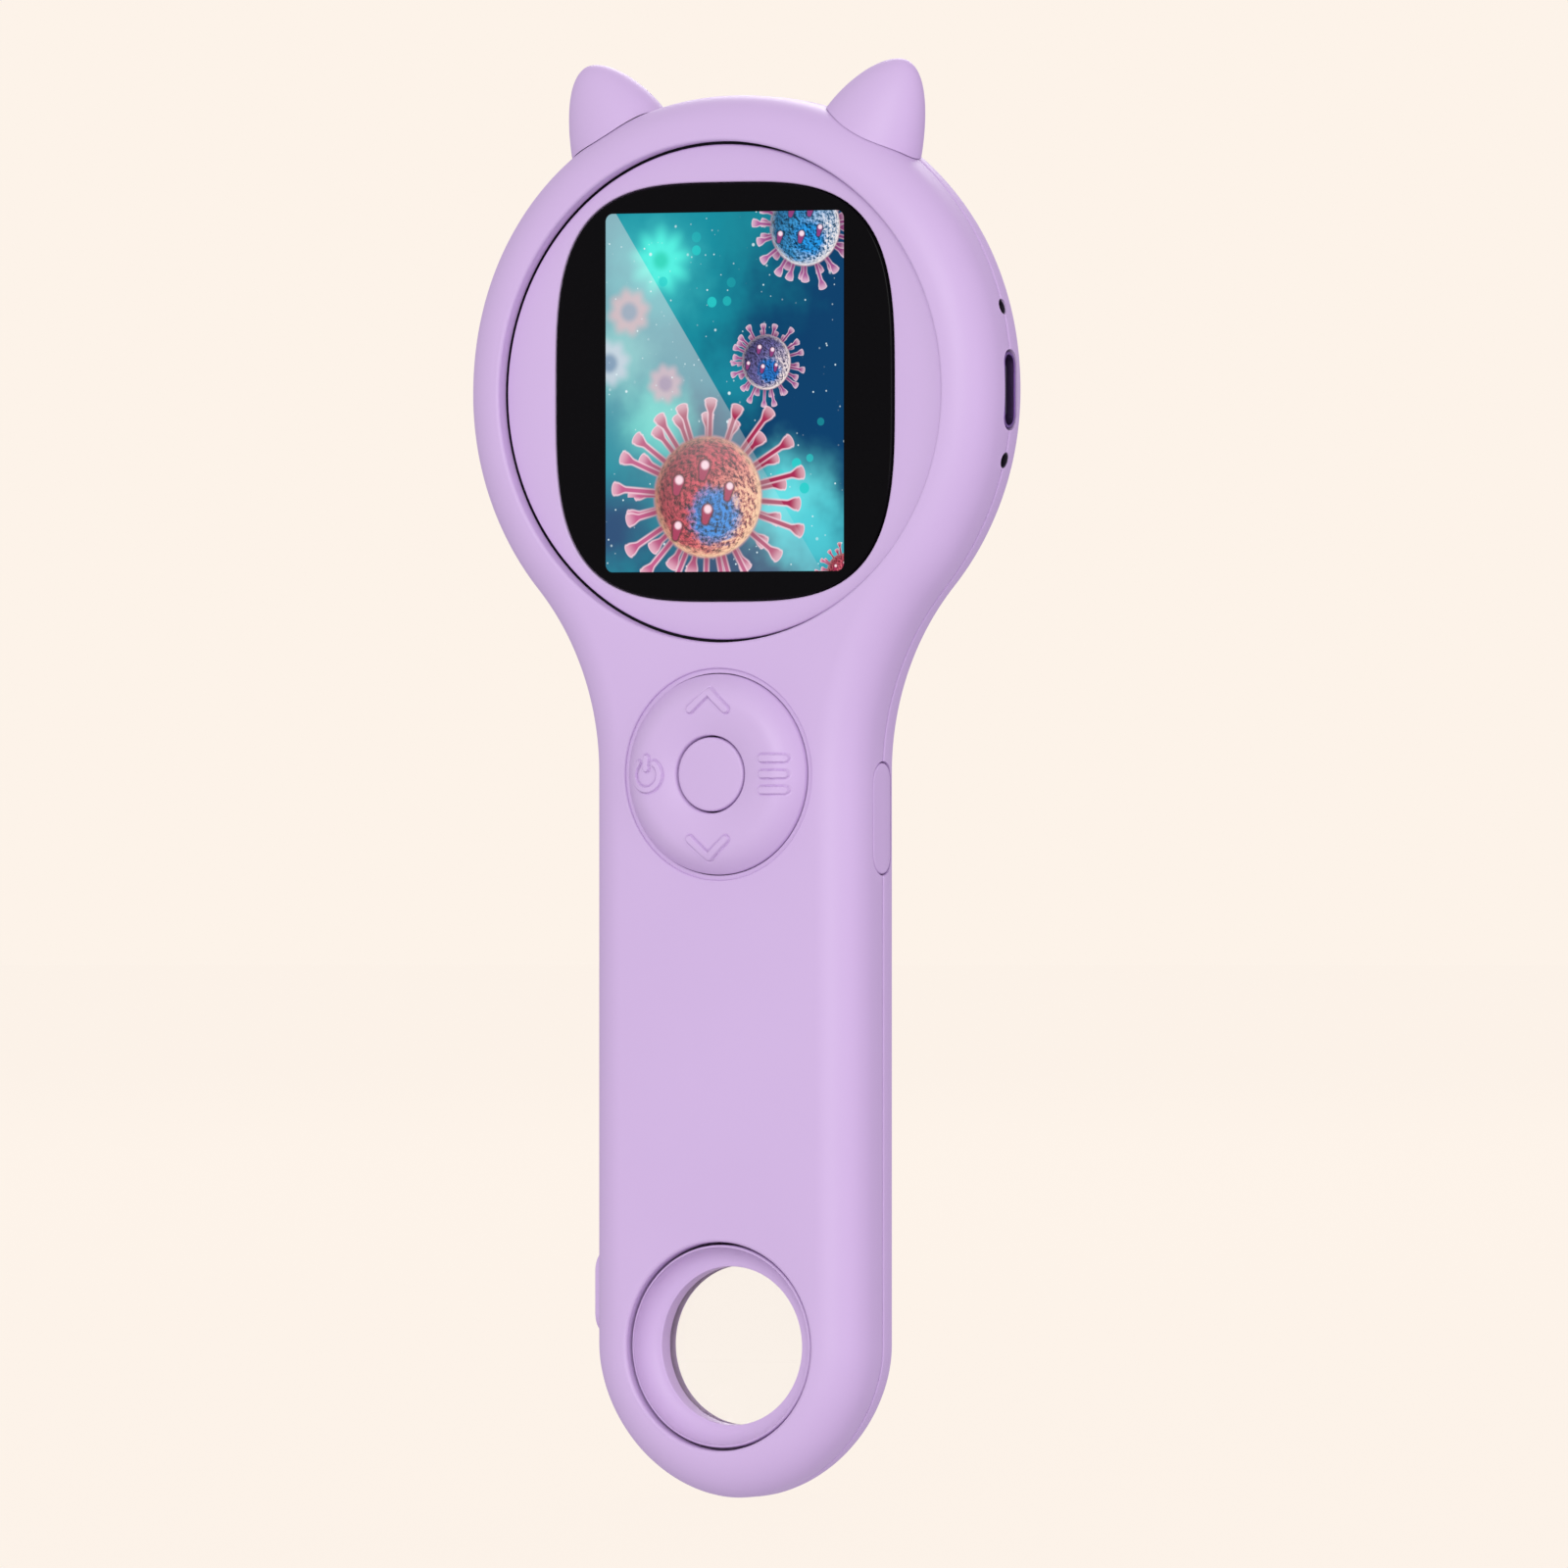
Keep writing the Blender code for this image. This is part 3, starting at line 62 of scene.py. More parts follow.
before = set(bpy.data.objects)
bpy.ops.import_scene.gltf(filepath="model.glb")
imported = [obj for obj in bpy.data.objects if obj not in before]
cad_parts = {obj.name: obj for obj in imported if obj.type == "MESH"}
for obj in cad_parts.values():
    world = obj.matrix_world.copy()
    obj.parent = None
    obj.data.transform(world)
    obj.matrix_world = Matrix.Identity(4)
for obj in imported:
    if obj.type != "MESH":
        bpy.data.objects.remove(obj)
CAD_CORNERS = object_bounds()

MM = 0.001


def middle_of(node):
    low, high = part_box(node)
    return 0.5 * (low + high)


# Places taken from the packed model
REAR_LOW, REAR_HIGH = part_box("rear_shell")
FRONT_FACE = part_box("front_shell")[0].y
BACK_FACE = REAR_HIGH.y
HEAD_RADIUS = 0.5 * (REAR_HIGH.x - REAR_LOW.x)
HEAD_HEIGHT = middle_of("display_surround").z
EYE_HEIGHT = middle_of("magnifier_ring").z
HANDLE_HALF_WIDTH = EYE_HEIGHT - REAR_LOW.z
PAD_HEIGHT = middle_of("direction_ring").z
SURROUND_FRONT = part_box("display_surround")[0].y
SURROUND_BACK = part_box("display_surround")[1].y
SURROUND_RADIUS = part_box("display_surround")[1].x

# Middles of the round pieces, as (x, z) places
HEAD = (0.0, HEAD_HEIGHT)
PAD = (0.0, PAD_HEIGHT)
EYE = (0.0, EYE_HEIGHT)

# Sizes that several pieces share
KEY_RADIUS = 4.2 * MM
KEY_HOLE_RADIUS = KEY_RADIUS + 0.22 * MM
MOAT_RADIUS = 12.0 * MM
MOAT_SHELF = 0.5 * MM
KEY_RIM = 0.6 * MM
SMALL_HOLE_RADIUS = 0.9 * MM
PLATE_LIP = 0.25 * MM
NECK_INSET = 1.9 * MM

# Fineness
HEAD_STEPS = 120
NECK_STEPS = 30
HANDLE_STEPS = 34
END_STEPS = 48
FILLET_STEPS = 16
ROUND_STEPS = 144
FINE_ROUND_STEPS = 192
KEY_STEPS = 24
CREASE = math.radians(32.0)


# ---------------------------------------------------------------- settings


metres = partial(FloatProperty, unit="LENGTH", precision=5)
portion = partial(FloatProperty, min=0.0, max=1.0)
tint = partial(FloatVectorProperty, subtype="COLOR", size=3, min=0.0, max=1.0)


class CaseSettings(bpy.types.PropertyGroup):
    """Sizes and colours of the two case halves and the ears."""

    neck_radius: metres(
        name="Neck radius", description="Hollow curve between head and handle", default=31.2 * MM
    )
    front_fillet: metres(
        name="Front fillet", description="Rounding from the front face to the side", default=4.9 * MM
    )
    back_fillet: metres(
        name="Back fillet", description="Rounding from the back face to the side", default=7.2 * MM
    )
    wall: metres(name="Wall", description="Thickness of the moulded case", default=1.8 * MM)
    seam_gap: metres(
        name="Seam gap", description="Open width of the parting line", default=0.12 * MM
    )
    ear_height: metres(name="Ear height", description="Foot to tip of an ear", default=12.15 * MM)
    ear_width: metres(
        name="Ear width", description="Half width of an ear's foot", default=6.85 * MM
    )
    ear_depth: metres(
        name="Ear depth", description="Half depth of an ear's foot, front to back", default=5.0 * MM
    )
    plastic: tint(
        name="Plastic", description="Colour of the soft satin plastic", default=(0.652, 0.501, 0.744)
    )
    grain: portion(name="Grain", description="Depth of the moulded grain", default=0.05)
    roughness: portion(name="Roughness", description="Satin of the plastic", default=0.44)


class DisplaySettings(bpy.types.PropertyGroup):
    """Sizes and brightness of the display."""

    window_width: metres(
        name="Window width", description="Black-bordered window, side to side", default=43.4 * MM
    )
    window_height: metres(
        name="Window height", description="Black-bordered window, top to bottom", default=47.3 * MM
    )
    squareness: FloatProperty(
        name="Squareness", description="How square the window's corners are", default=3.45
    )
    picture_width: metres(
        name="Picture width", description="Lit area, side to side", default=30.7 * MM
    )
    picture_height: metres(
        name="Picture height", description="Lit area, top to bottom", default=40.8 * MM
    )
    glow: FloatProperty(
        name="Glow", description="Brightness of the lit picture", default=1.0, min=0.0
    )


class KeySettings(bpy.types.PropertyGroup):
    """Sizes of the direction ring, its raised marks and the side keys."""

    crest: metres(
        name="Crest", description="How far the ring's crest stands above the case", default=2.4 * MM
    )
    dip: metres(
        name="Dip", description="How far the ring's inner edge lies below its crest",
        default=0.6 * MM,
    )
    mark_height: metres(
        name="Mark height", description="How far the marks stand out of the ring", default=0.3 * MM
    )
    key_edge: metres(
        name="Key edge", description="Rounding of the side keys' edges", default=0.3 * MM
    )


class CameraSettings(bpy.types.PropertyGroup):
    """Sizes of the camera nozzle on the back and of the port."""

    ribs: IntProperty(name="Ribs", description="Grip ribs round the focus ring", default=36, min=3)
    rib_radius: metres(
        name="Rib radius", description="Half width of one grip rib", default=0.55 * MM
    )
    contacts: IntProperty(
        name="Contacts", description="Contact strips on the port's tongue", default=8, min=1
    )


class StageSettings(bpy.types.PropertyGroup):
    """The camera, the lights and the floor."""

    azimuth: FloatProperty(
        name="Azimuth", description="How far round to the port side the camera stands",
        subtype="ANGLE", default=math.radians(28.2),
    )
    distance: metres(name="Distance", description="Camera to object", default=2.0)
    view_width: metres(name="View width", description="Width seen at the object", default=0.1784)
    ground: tint(
        name="Ground", description="Colour of the floor and backdrop", default=(0.982, 0.896, 0.815)
    )
    key_power: FloatProperty(
        name="Key light", description="Power of the soft key light", default=21.8
    )
    side_power: FloatProperty(
        name="Side light", description="Power of the side light", default=7.0
    )
    back_power: FloatProperty(
        name="Back light", description="Power of the light behind", default=22.0
    )
    room: FloatProperty(name="Room light", description="Even light from all round", default=0.62)


# ---------------------------------------------------------------- outlines


def circle(radius, centre, steps=ROUND_STEPS):
    points = []
    for step in range(steps):
        angle = math.tau * step / steps
        points.append((centre[0] + radius * math.cos(angle), centre[1] + radius * math.sin(angle)))
    return points


def quarter(steps):
    """(1 - sine, 1 - cosine) at each step of a quarter turn, for soft edges."""
    angles = [0.5 * math.pi * step / steps for step in range(steps + 1)]
    return [(1.0 - math.sin(angle), 1.0 - math.cos(angle)) for angle in angles]


def capsule(width, length, centre=(0.0, 0.0), steps=16):
    """A slot with round ends: width along the first axis, length along the second."""
    radius = 0.5 * width
    reach = 0.5 * length - radius
    points = []
    for end in (1, -1):
        for step in range(steps + 1):
            angle = math.pi * step / steps + (0.0 if end > 0 else math.pi)
            u = centre[0] + radius * math.cos(angle)
            v = centre[1] + end * reach + radius * math.sin(angle)
            points.append((u, v))
    return points


def squircle(width, height, power, steps=200):
    """A rectangle with bulging sides and soft corners, about the display's middle."""
    points = []
    for step in range(steps):
        angle = math.tau * (step + 0.5) / steps
        reach = fullness(angle, power)
        x = 0.5 * width * reach * math.cos(angle)
        points.append((x, HEAD_HEIGHT + 0.5 * height * reach * math.sin(angle)))
    return points


def fullness(angle, power):
    """How much fuller, or slimmer, than a circle an outline is between its quarters."""
    return (abs(math.cos(angle)) ** power + abs(math.sin(angle)) ** power) ** (-1.0 / power)


def shrunk(loop, inset):
    """A loop moved inwards by inset along its own normals."""
    if inset == 0.0:
        return list(loop)
    area = sum(a[0] * b[1] - b[0] * a[1] for a, b in zip(loop, loop[1:] + loop[:1]))
    way = inset if area > 0.0 else -inset
    moved = []
    for (x, z), before, after in zip(loop, loop[-1:] + loop[:-1], loop[1:] + loop[:1]):
        along = Vector((after[0] - before[0], after[1] - before[1])).normalized()
        moved.append((x - way * along.y, z + way * along.x))
    return moved


def inside(point, loop):
    """Whether an (x, z) point is within a closed loop."""
    x, z = point
    found = False
    for (ax, az), (bx, bz) in zip(loop, loop[1:] + loop[:1]):
        if (az > z) != (bz > z) and x < ax + (bx - ax) * (z - az) / (bz - az):
            found = not found
    return found


# ---------------------------------------------------------------- mesh tools


def skin(rings, loop=False):
    """Quads between closed rings of equally many points."""
    mesh = bmesh.new()
    rows = [[mesh.verts.new(point) for point in ring] for ring in rings]
    pairs = list(zip(rows, rows[1:]))
    if loop:
        pairs.append((rows[-1], rows[0]))
    for near, far in pairs:
        for a, b, c, d in zip(near, near[1:] + near[:1], far[1:] + far[:1], far):
            mesh.faces.new((a, b, c, d))
    return mesh


def capped(rings):
    """A skin of rings with both ends closed."""
    mesh = skin(rings)
    corners = list(mesh.verts)
    count = len(rings[0])
    mesh.faces.new(corners[:count])
    mesh.faces.new(corners[-count:])
    return mesh


def lathe(profile, centre, steps=ROUND_STEPS, closed=True):
    """Turns a (radius, y) profile about the Y axis through centre, an (x, z) place."""
    mesh = bmesh.new()
    rows = []
    for radius, y in profile:
        places = circle(radius, centre, steps) if radius > 0.0 else [centre]
        rows.append([mesh.verts.new((x, y, z)) for x, z in places])
    pairs = list(zip(rows, rows[1:]))
    if closed:
        pairs.append((rows[-1], rows[0]))
    for near, far in pairs:
        if len(near) == len(far) == 1:
            continue
        for step in range(steps):
            after = (step + 1) % steps
            corners = [near[step], near[after]] if len(near) > 1 else [near[0]]
            corners += [far[after], far[step]] if len(far) > 1 else [far[0]]
            mesh.faces.new(corners)
    return mesh


def flat_face(outer, holes, y):
    """A flat face at a depth, filled between an outline and its holes."""
    points = []
    edges = []
    for loop in [outer, *holes]:
        start = len(points)
        points += [Vector((x / MM, z / MM)) for x, z in loop]
        edges += [(start + index, start + (index + 1) % len(loop)) for index in range(len(loop))]
    found = delaunay_2d_cdt(points, edges, [], 0, 1e-7)
    mesh = bmesh.new()
    places = [(point.x * MM, point.y * MM) for point in found[0]]
    vertices = [mesh.verts.new((x, y, z)) for x, z in places]
    for corners in found[2]:
        middle = [sum(places[corner][axis] for corner in corners) / len(corners) for axis in (0, 1)]
        if sum(inside(middle, loop) for loop in [outer, *holes]) == 1:
            mesh.faces.new([vertices[corner] for corner in corners])
    return mesh


def joined(*parts):
    """Several bmeshes as one, with shared points merged and the outside facing out."""
    whole = bmesh.new()
    for part in parts:
        copies = {vertex: whole.verts.new(vertex.co) for vertex in part.verts}
        for face in part.faces:
            whole.faces.new([copies[vertex] for vertex in face.verts])
        part.free()
    bmesh.ops.remove_doubles(whole, verts=whole.verts, dist=0.002 * MM)
    loose = [vertex for vertex in whole.verts if not vertex.link_faces]
    bmesh.ops.delete(whole, geom=loose, context="VERTS")
    bmesh.ops.recalc_face_normals(whole, faces=whole.faces)
    return whole


def plain_object(name, mesh_data):
    mesh = bpy.data.meshes.new(name)
    bmesh.ops.recalc_face_normals(mesh_data, faces=mesh_data.faces)
    mesh_data.to_mesh(mesh)
    mesh_data.free()
    obj = bpy.data.objects.new(name, mesh)
    bpy.context.scene.collection.objects.link(obj)
    return obj


def turned(name, profile, centre, steps=ROUND_STEPS):
    """An object that is one closed (radius, y) profile turned about centre."""
    return plain_object(name, joined(lathe(profile, centre, steps)))


def baked(obj):
    """Turns an object's modifiers into its plain mesh."""
    graph = bpy.context.evaluated_depsgraph_get()
    mesh = bpy.data.meshes.new_from_object(obj.evaluated_get(graph))
    old = obj.data
    obj.modifiers.clear()
    obj.data = mesh
    bpy.data.meshes.remove(old)
    return obj


def carved(obj, *cutters):
    """Cuts closed shapes out of an object."""
    tools = []
    for number, cutter in enumerate(cutters):
        tool = plain_object(f"cutter_{number}", cutter)
        modifier = obj.modifiers.new("cut", "BOOLEAN")
        modifier.operation = "DIFFERENCE"
        modifier.solver = "EXACT"
        modifier.object = tool
        tools.append(tool)
    baked(obj)
    for tool in tools:
        mesh = tool.data
        bpy.data.objects.remove(tool)
        bpy.data.meshes.remove(mesh)
    return obj


def side_solid(outline, low_x, high_x):
    """An outline of (y, z) points filled between two places across the case."""
    return capped([[(x, y, z) for y, z in outline] for x in (low_x, high_x)])


def finish_piece(obj, look, body, *nodes, slot, crease=CREASE):
    """Smooths a piece, gives it its material, ties it to its body and hides the CAD nodes it stands
    for.
    """
    obj.data.materials.clear()
    obj.data.materials.append(look)
    obj.data.shade_smooth()
    obj.data.set_sharp_from_angle(angle=crease)
    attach(obj, body)
    if nodes:
        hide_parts(*nodes)


def finish_lilac(obj, body, *nodes, crease=CREASE):
    """Finishes a piece of the case's own plastic."""
    finish_piece(obj, lilac_plastic(), body, *nodes, slot="lilac_plastic", crease=crease)


def repaint(look, *nodes):
    """Gives CAD nodes that keep their own shape a finished material."""
    for node in nodes:
        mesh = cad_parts[node].data
        mesh.materials.clear()
        mesh.materials.append(look)


# ---------------------------------------------------------------- material tools


def joins(operation, swapped=False):
    """A method that joins two values by a Math node."""

    def method(self, other=0.0):
        pair = (other, self) if swapped else (self, other)
        return self.pattern.math(operation, *pair)

    return method


class Value:
    """A node's output, which arithmetic signs join to more nodes."""

    def __init__(self, pattern, socket):
        self.pattern = pattern
        self.socket = socket

    __add__ = __radd__ = joins("ADD")
    __sub__ = joins("SUBTRACT")
    __rsub__ = joins("SUBTRACT", swapped=True)
    __mul__ = __rmul__ = joins("MULTIPLY")
    __truediv__ = joins("DIVIDE")
    __pow__ = joins("POWER")
    __abs__ = joins("ABSOLUTE")
    least = joins("MINIMUM")
    most = joins("MAXIMUM")
    angle_from = joins("ARCTAN2")
    root = joins("SQRT")
    sine = joins("SINE")
    cosine = joins("COSINE")
    rounded = joins("ROUND")

    def smooth(self, low, high, start=0.0, end=1.0):
        """A soft step from start to end as the value goes from low to high."""
        node = self.pattern.add("ShaderNodeMapRange", interpolation_type="SMOOTHSTEP")
        places = {"Value": self, "From Min": low, "From Max": high, "To Min": start, "To Max": end}
        for name, number in places.items():
            self.pattern.feed(node.inputs[name], number)
        return Value(self.pattern, node.outputs["Result"])


class Pattern:
    """Adds nodes to one material, a step at a time."""

    def __init__(self, name, **constants):
        self.material = bpy.data.materials.new(name)
        self.material.use_nodes = True
        self.tree = self.material.node_tree
        self.shader = self.tree.nodes["Principled BSDF"]
        for socket, value in constants.items():
            self.shader.inputs[socket.replace("_", " ")].default_value = value
        self.place = Value(self, self.add("ShaderNodeTexCoord").outputs["Object"])

    def add(self, kind, **settings):
        node = self.tree.nodes.new(kind)
        for name, value in settings.items():
            setattr(node, name, value)
        return node

    def feed(self, socket, value):
        if isinstance(value, Value):
            self.tree.links.new(value.socket, socket)
        else:
            socket.default_value = value

    def made(self, node, output, *values):
        """Feeds a node's inputs in order and gives one of its outputs."""
        for socket, value in zip(node.inputs, values):
            self.feed(socket, value)
        return Value(self, node.outputs[output])

    def math(self, operation, *values):
        return self.made(self.add("ShaderNodeMath", operation=operation), 0, *values)

    def vector(self, operation, *values):
        node = self.add("ShaderNodeVectorMath", operation=operation)
        single = operation in ("DISTANCE", "LENGTH", "DOT_PRODUCT")
        return self.made(node, 1 if single else 0, *values)

    def scaled(self, vector, factor):
        node = self.add("ShaderNodeVectorMath", operation="SCALE")
        self.feed(node.inputs["Scale"], factor)
        return self.made(node, 0, vector)

    def combine(self, x, y, z):
        return self.made(self.add("ShaderNodeCombineXYZ"), 0, x, y, z)

    def separate(self, vector):
        node = self.add("ShaderNodeSeparateXYZ")
        return [self.made(node, output, vector) for output in range(3)]

    def noise(self, vector, scale, detail=2.0, roughness=0.5):
        node = self.add("ShaderNodeTexNoise")
        node.inputs["Scale"].default_value = scale
        node.inputs["Detail"].default_value = detail
        node.inputs["Roughness"].default_value = roughness
        return self.made(node, "Fac", vector)

    def cells(self, vector, scale):
        """Distance to the nearest cell's middle, and the cell's own chance."""
        node = self.add("ShaderNodeTexVoronoi")
        node.inputs["Scale"].default_value = scale
        away = self.made(node, "Distance", vector)
        return away, self.separate(Value(self, node.outputs["Color"]))[0]

    def mix(self, share, first, second):
        node = self.add("ShaderNodeMix", data_type="RGBA")
        self.feed(node.inputs[0], share)
        for socket, value in zip(node.inputs[6:8], (first, second)):
            self.feed(socket, value if isinstance(value, Value) else (*value, 1.0))
        return Value(self, node.outputs[2])

    def colour(self, value):
        self.feed(self.shader.inputs["Base Color"], value)

    def roughness(self, value):
        self.feed(self.shader.inputs["Roughness"], value)

    def bump(self, height, strength, distance):
        node = self.add("ShaderNodeBump")
        node.inputs["Strength"].default_value = strength
        node.inputs["Distance"].default_value = distance
        self.feed(node.inputs["Height"], height)
        self.feed(self.shader.inputs["Normal"], Value(self, node.outputs["Normal"]))


def shade(colour, factor):
    return tuple(min(channel * factor, 1.0) for channel in colour)


def moulded(name, colour, roughness, grain, specular=0.42):
    """Moulded plastic: a fine grain, soft patches of gloss and a trace of colour drift."""
    grain_size = 0.28 * MM
    p = Pattern(name, Specular_IOR_Level=specular)
    drift = p.noise(p.place, 38.0, 3.0)
    p.colour(p.mix(drift, shade(colour, 0.97), shade(colour, 1.03)))
    fine = p.noise(p.place, 1.0 / grain_size, 3.0, 0.6)
    patches = p.noise(p.place, 160.0, 2.0)
    p.roughness(fine * 0.06 + (patches * 0.08 + (roughness - 0.04)))
    p.bump(fine, grain, 0.02 * MM)
    return p.material


def lilac_plastic():
    case = bpy.context.scene.microscope_case
    found = bpy.data.materials.get("lilac_satin_plastic")
    return found or moulded("lilac_satin_plastic", case.plastic, case.roughness, case.grain)


def metal(name, colour, roughness, brushed=True):
    """Plain metal with fine drawn lines."""
    p = Pattern(name, Metallic=1.0)
    place = p.vector("MULTIPLY", p.place, (1.0, 1.0, 12.0)) if brushed else p.place
    lines = p.noise(place, 900.0, 3.0, 0.6)
    p.colour(p.mix(lines, shade(colour, 0.86), colour))
    p.roughness(lines * 0.18 + (roughness - 0.06))
    p.bump(lines, 0.08, 0.01 * MM)
    return p.material


def clear_plastic(name, colour, roughness, ior=1.49):
    """Clear acrylic with a trace of haze."""
    p = Pattern(name, IOR=ior, Transmission_Weight=1.0)
    haze = p.noise(p.place, 220.0, 2.0)
    p.colour(p.mix(haze, colour, shade(colour, 0.99)))
    p.roughness(haze * 0.03 + roughness)
    return p.material


# ---------------------------------------------------------------- case


def outward(face_y):
    """The way out of the case along Y at its front or its back face."""
    return math.copysign(1.0, face_y)


def case_outline(inset):
    """The case's outline, moved inwards, as (x, z) points round from the top."""
    head_power = 2.07
    end_power = 1.88
    neck_radius = bpy.context.scene.microscope_case.neck_radius
    reach = HEAD_RADIUS + neck_radius
    neck_x = HANDLE_HALF_WIDTH + neck_radius
    dip = math.acos(neck_x / reach)
    neck_z = HEAD_HEIGHT - reach * math.sin(dip)
    right = []
    for step in range(HEAD_STEPS):
        angle = 0.5 * math.pi - (0.5 * math.pi + dip) * step / HEAD_STEPS
        radius = (HEAD_RADIUS - inset) * (fullness(angle, head_power) if angle > 0.0 else 1.0)
        right.append((radius * math.cos(angle), HEAD_HEIGHT + radius * math.sin(angle)))
    for step in range(NECK_STEPS):
        angle = math.pi - dip + dip * step / NECK_STEPS
        radius = neck_radius + inset
        right.append((neck_x + radius * math.cos(angle), neck_z + radius * math.sin(angle)))
    for step in range(HANDLE_STEPS):
        z = neck_z + (EYE_HEIGHT - neck_z) * step / HANDLE_STEPS
        right.append((HANDLE_HALF_WIDTH - inset, z))
    for step in range(END_STEPS + 1):
        angle = -0.5 * math.pi * step / END_STEPS
        radius = (HANDLE_HALF_WIDTH - inset) * fullness(angle, end_power)
        right.append((radius * math.cos(angle), EYE_HEIGHT + radius * math.sin(angle)))
    left = [(-x, z) for x, z in reversed(right[1:-1])]
    return right + left


def outline_skin(line):
    """A skin round the case through (inset, y) places."""
    return skin([[(x, y, z) for x, z in case_outline(inset)] for inset, y in line])


def wall_line(face_y, fillet, wall, gap):
    """(inset, y) places from the inner flat, round the wall's edge at the seam, to the outer flat."""
    way = outward(face_y)
    seam = way * 0.5 * gap
    corner = face_y - way * fillet
    soft = 0.22 * MM
    inner = fillet - wall
    line = [(wall + inner * c, corner + way * inner * (1.0 - s)) for s, c in reversed(quarter(6))]
    line.append((wall, seam))
    line += [(soft * s, seam + way * soft * c) for s, c in quarter(3)]
    line += [(fillet * c, corner + way * fillet * (1.0 - s)) for s, c in quarter(FILLET_STEPS)]
    return line


def case_half(name, face_y, fillet, holes):
    """One case half.

    Each hole is (radius, lip, shelf, centre), and a shelf narrows it just below the lip.
    """
    case = bpy.context.scene.microscope_case
    shelf_drop = 0.12 * MM
    way = outward(face_y)
    back_y = face_y - way * case.wall
    parts = [outline_skin(wall_line(face_y, fillet, case.wall, case.seam_gap))]
    flat = case_outline(fillet)
    outer_holes = [circle(radius + lip, centre) for radius, lip, shelf, centre in holes]
    inner_holes = [circle(radius - shelf, centre) for radius, lip, shelf, centre in holes]
    parts += [flat_face(flat, outer_holes, face_y), flat_face(flat, inner_holes, back_y)]
    for radius, lip, shelf, centre in holes:
        line = [(radius + lip * s, face_y - way * lip * c) for s, c in quarter(6)]
        if shelf:
            step_y = face_y - way * (lip + shelf_drop)
            line += [(radius, step_y), (radius - shelf, step_y)]
        line.append((radius - shelf, back_y))
        parts.append(lathe(line, centre, closed=False))
    return plain_object(name, joined(*parts))


def slot_cutter(side, node, gap):
    """The slot of a side key, a little larger than the key's stem."""
    low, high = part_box(node)
    spare = 2.0 * gap - 2.0 * KEY_RIM
    outline = capsule(high.y - low.y + spare, high.z - low.z + spare, (0.0, middle_of(node).z))
    depths = (HANDLE_HALF_WIDTH - 3.5 * MM, HANDLE_HALF_WIDTH + 2.0 * MM)
    return side_solid(outline, *sorted(side * depth for depth in depths))


def side_cutters():
    """The slots of both side keys, the port's mouth and the two small holes beside it."""
    cutters = [slot_cutter(1, "right_key", 0.2 * MM), slot_cutter(-1, "left_key", 0.14 * MM)]
    low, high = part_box("usb_socket")
    spare = 0.6 * MM
    mouth = capsule(high.y - low.y + spare, high.z - low.z + spare, HEAD, 24)
    # An odd count of steps and a small offset keep the holes' points off the parting plane
    holes = [
        circle(SMALL_HOLE_RADIUS, (0.013 * MM, middle_of(node).z), 43)
        for node in ("light_pipe", "reset_plunger")
    ]
    reach = (HEAD_RADIUS - 6.0 * MM, HEAD_RADIUS + 2.0 * MM)
    return cutters + [side_solid(outline, *reach) for outline in (mouth, *holes)]


def screw_places():
    middles = [middle_of(f"case_screw_{number}") for number in range(1, 5)]
    return [(middle.x, middle.z) for middle in middles]


def plug(radius, low_y, high_y, centre, steps):
    """A round closed cutter along Y."""
    return lathe([(0.0, low_y), (radius, low_y), (radius, high_y), (0.0, high_y)], centre, steps)


class MICROSCOPE_OT_case(bpy.types.Operator):
    """Make the two case halves, with their holes, slots and the parting line"""

    bl_idname = "microscope.make_case"
    bl_label = "Make case"

    def execute(self, context):
        case = context.scene.microscope_case
        ring_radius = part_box("magnifier_ring")[1].x
        holes = [
            (SURROUND_RADIUS + 0.34 * MM, 0.38 * MM, 0.0, HEAD),
            (MOAT_RADIUS, 0.24 * MM, MOAT_SHELF, PAD),
            (ring_radius + 0.34 * MM, 0.4 * MM, 0.0, EYE),
        ]
        front = case_half("fine_front_shell", FRONT_FACE, case.front_fillet, holes)
        carved(front, *side_cutters())
        finish_lilac(front, "case", "front_shell")

        back = case_half("fine_rear_shell", BACK_FACE, case.back_fillet, [])
        bore = ring_radius - 2.8 * MM
        flare = math.tan(math.radians(29.5))
        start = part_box("magnifier_lens")[1].y + 0.2 * MM
        end = BACK_FACE + 1.5 * MM
        mouth = bore + 0.5 * MM
        cone = [(0.0, start), (mouth, start), (mouth + flare * (end - start), end), (0.0, end)]
        cutters = [lathe(cone, EYE, FINE_ROUND_STEPS)]
        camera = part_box("camera_tube")[1].x - 2.0 * MM
        cutters.append(plug(camera, BACK_FACE - 4.0 * MM, end, HEAD, 96))
        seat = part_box("case_screw_1")[1].y - 1.3 * MM
        cutters += [plug(1.8 * MM, seat, end, place, 48) for place in screw_places()]
        carved(back, *cutters, *side_cutters())
        finish_lilac(back, "case", "rear_shell")

        depth = 5.9 * MM
        spread = flare * (depth - start)
        funnel = [
            (bore + 0.32 * MM, start - 0.1 * MM), (bore + 1.4 * MM, start - 0.1 * MM),
            (bore + 1.6 * MM + spread, depth), (bore + 0.48 * MM + spread, depth),
        ]
        finish_lilac(turned("eye_funnel", funnel, EYE, FINE_ROUND_STEPS), "case")
        return {"FINISHED"}


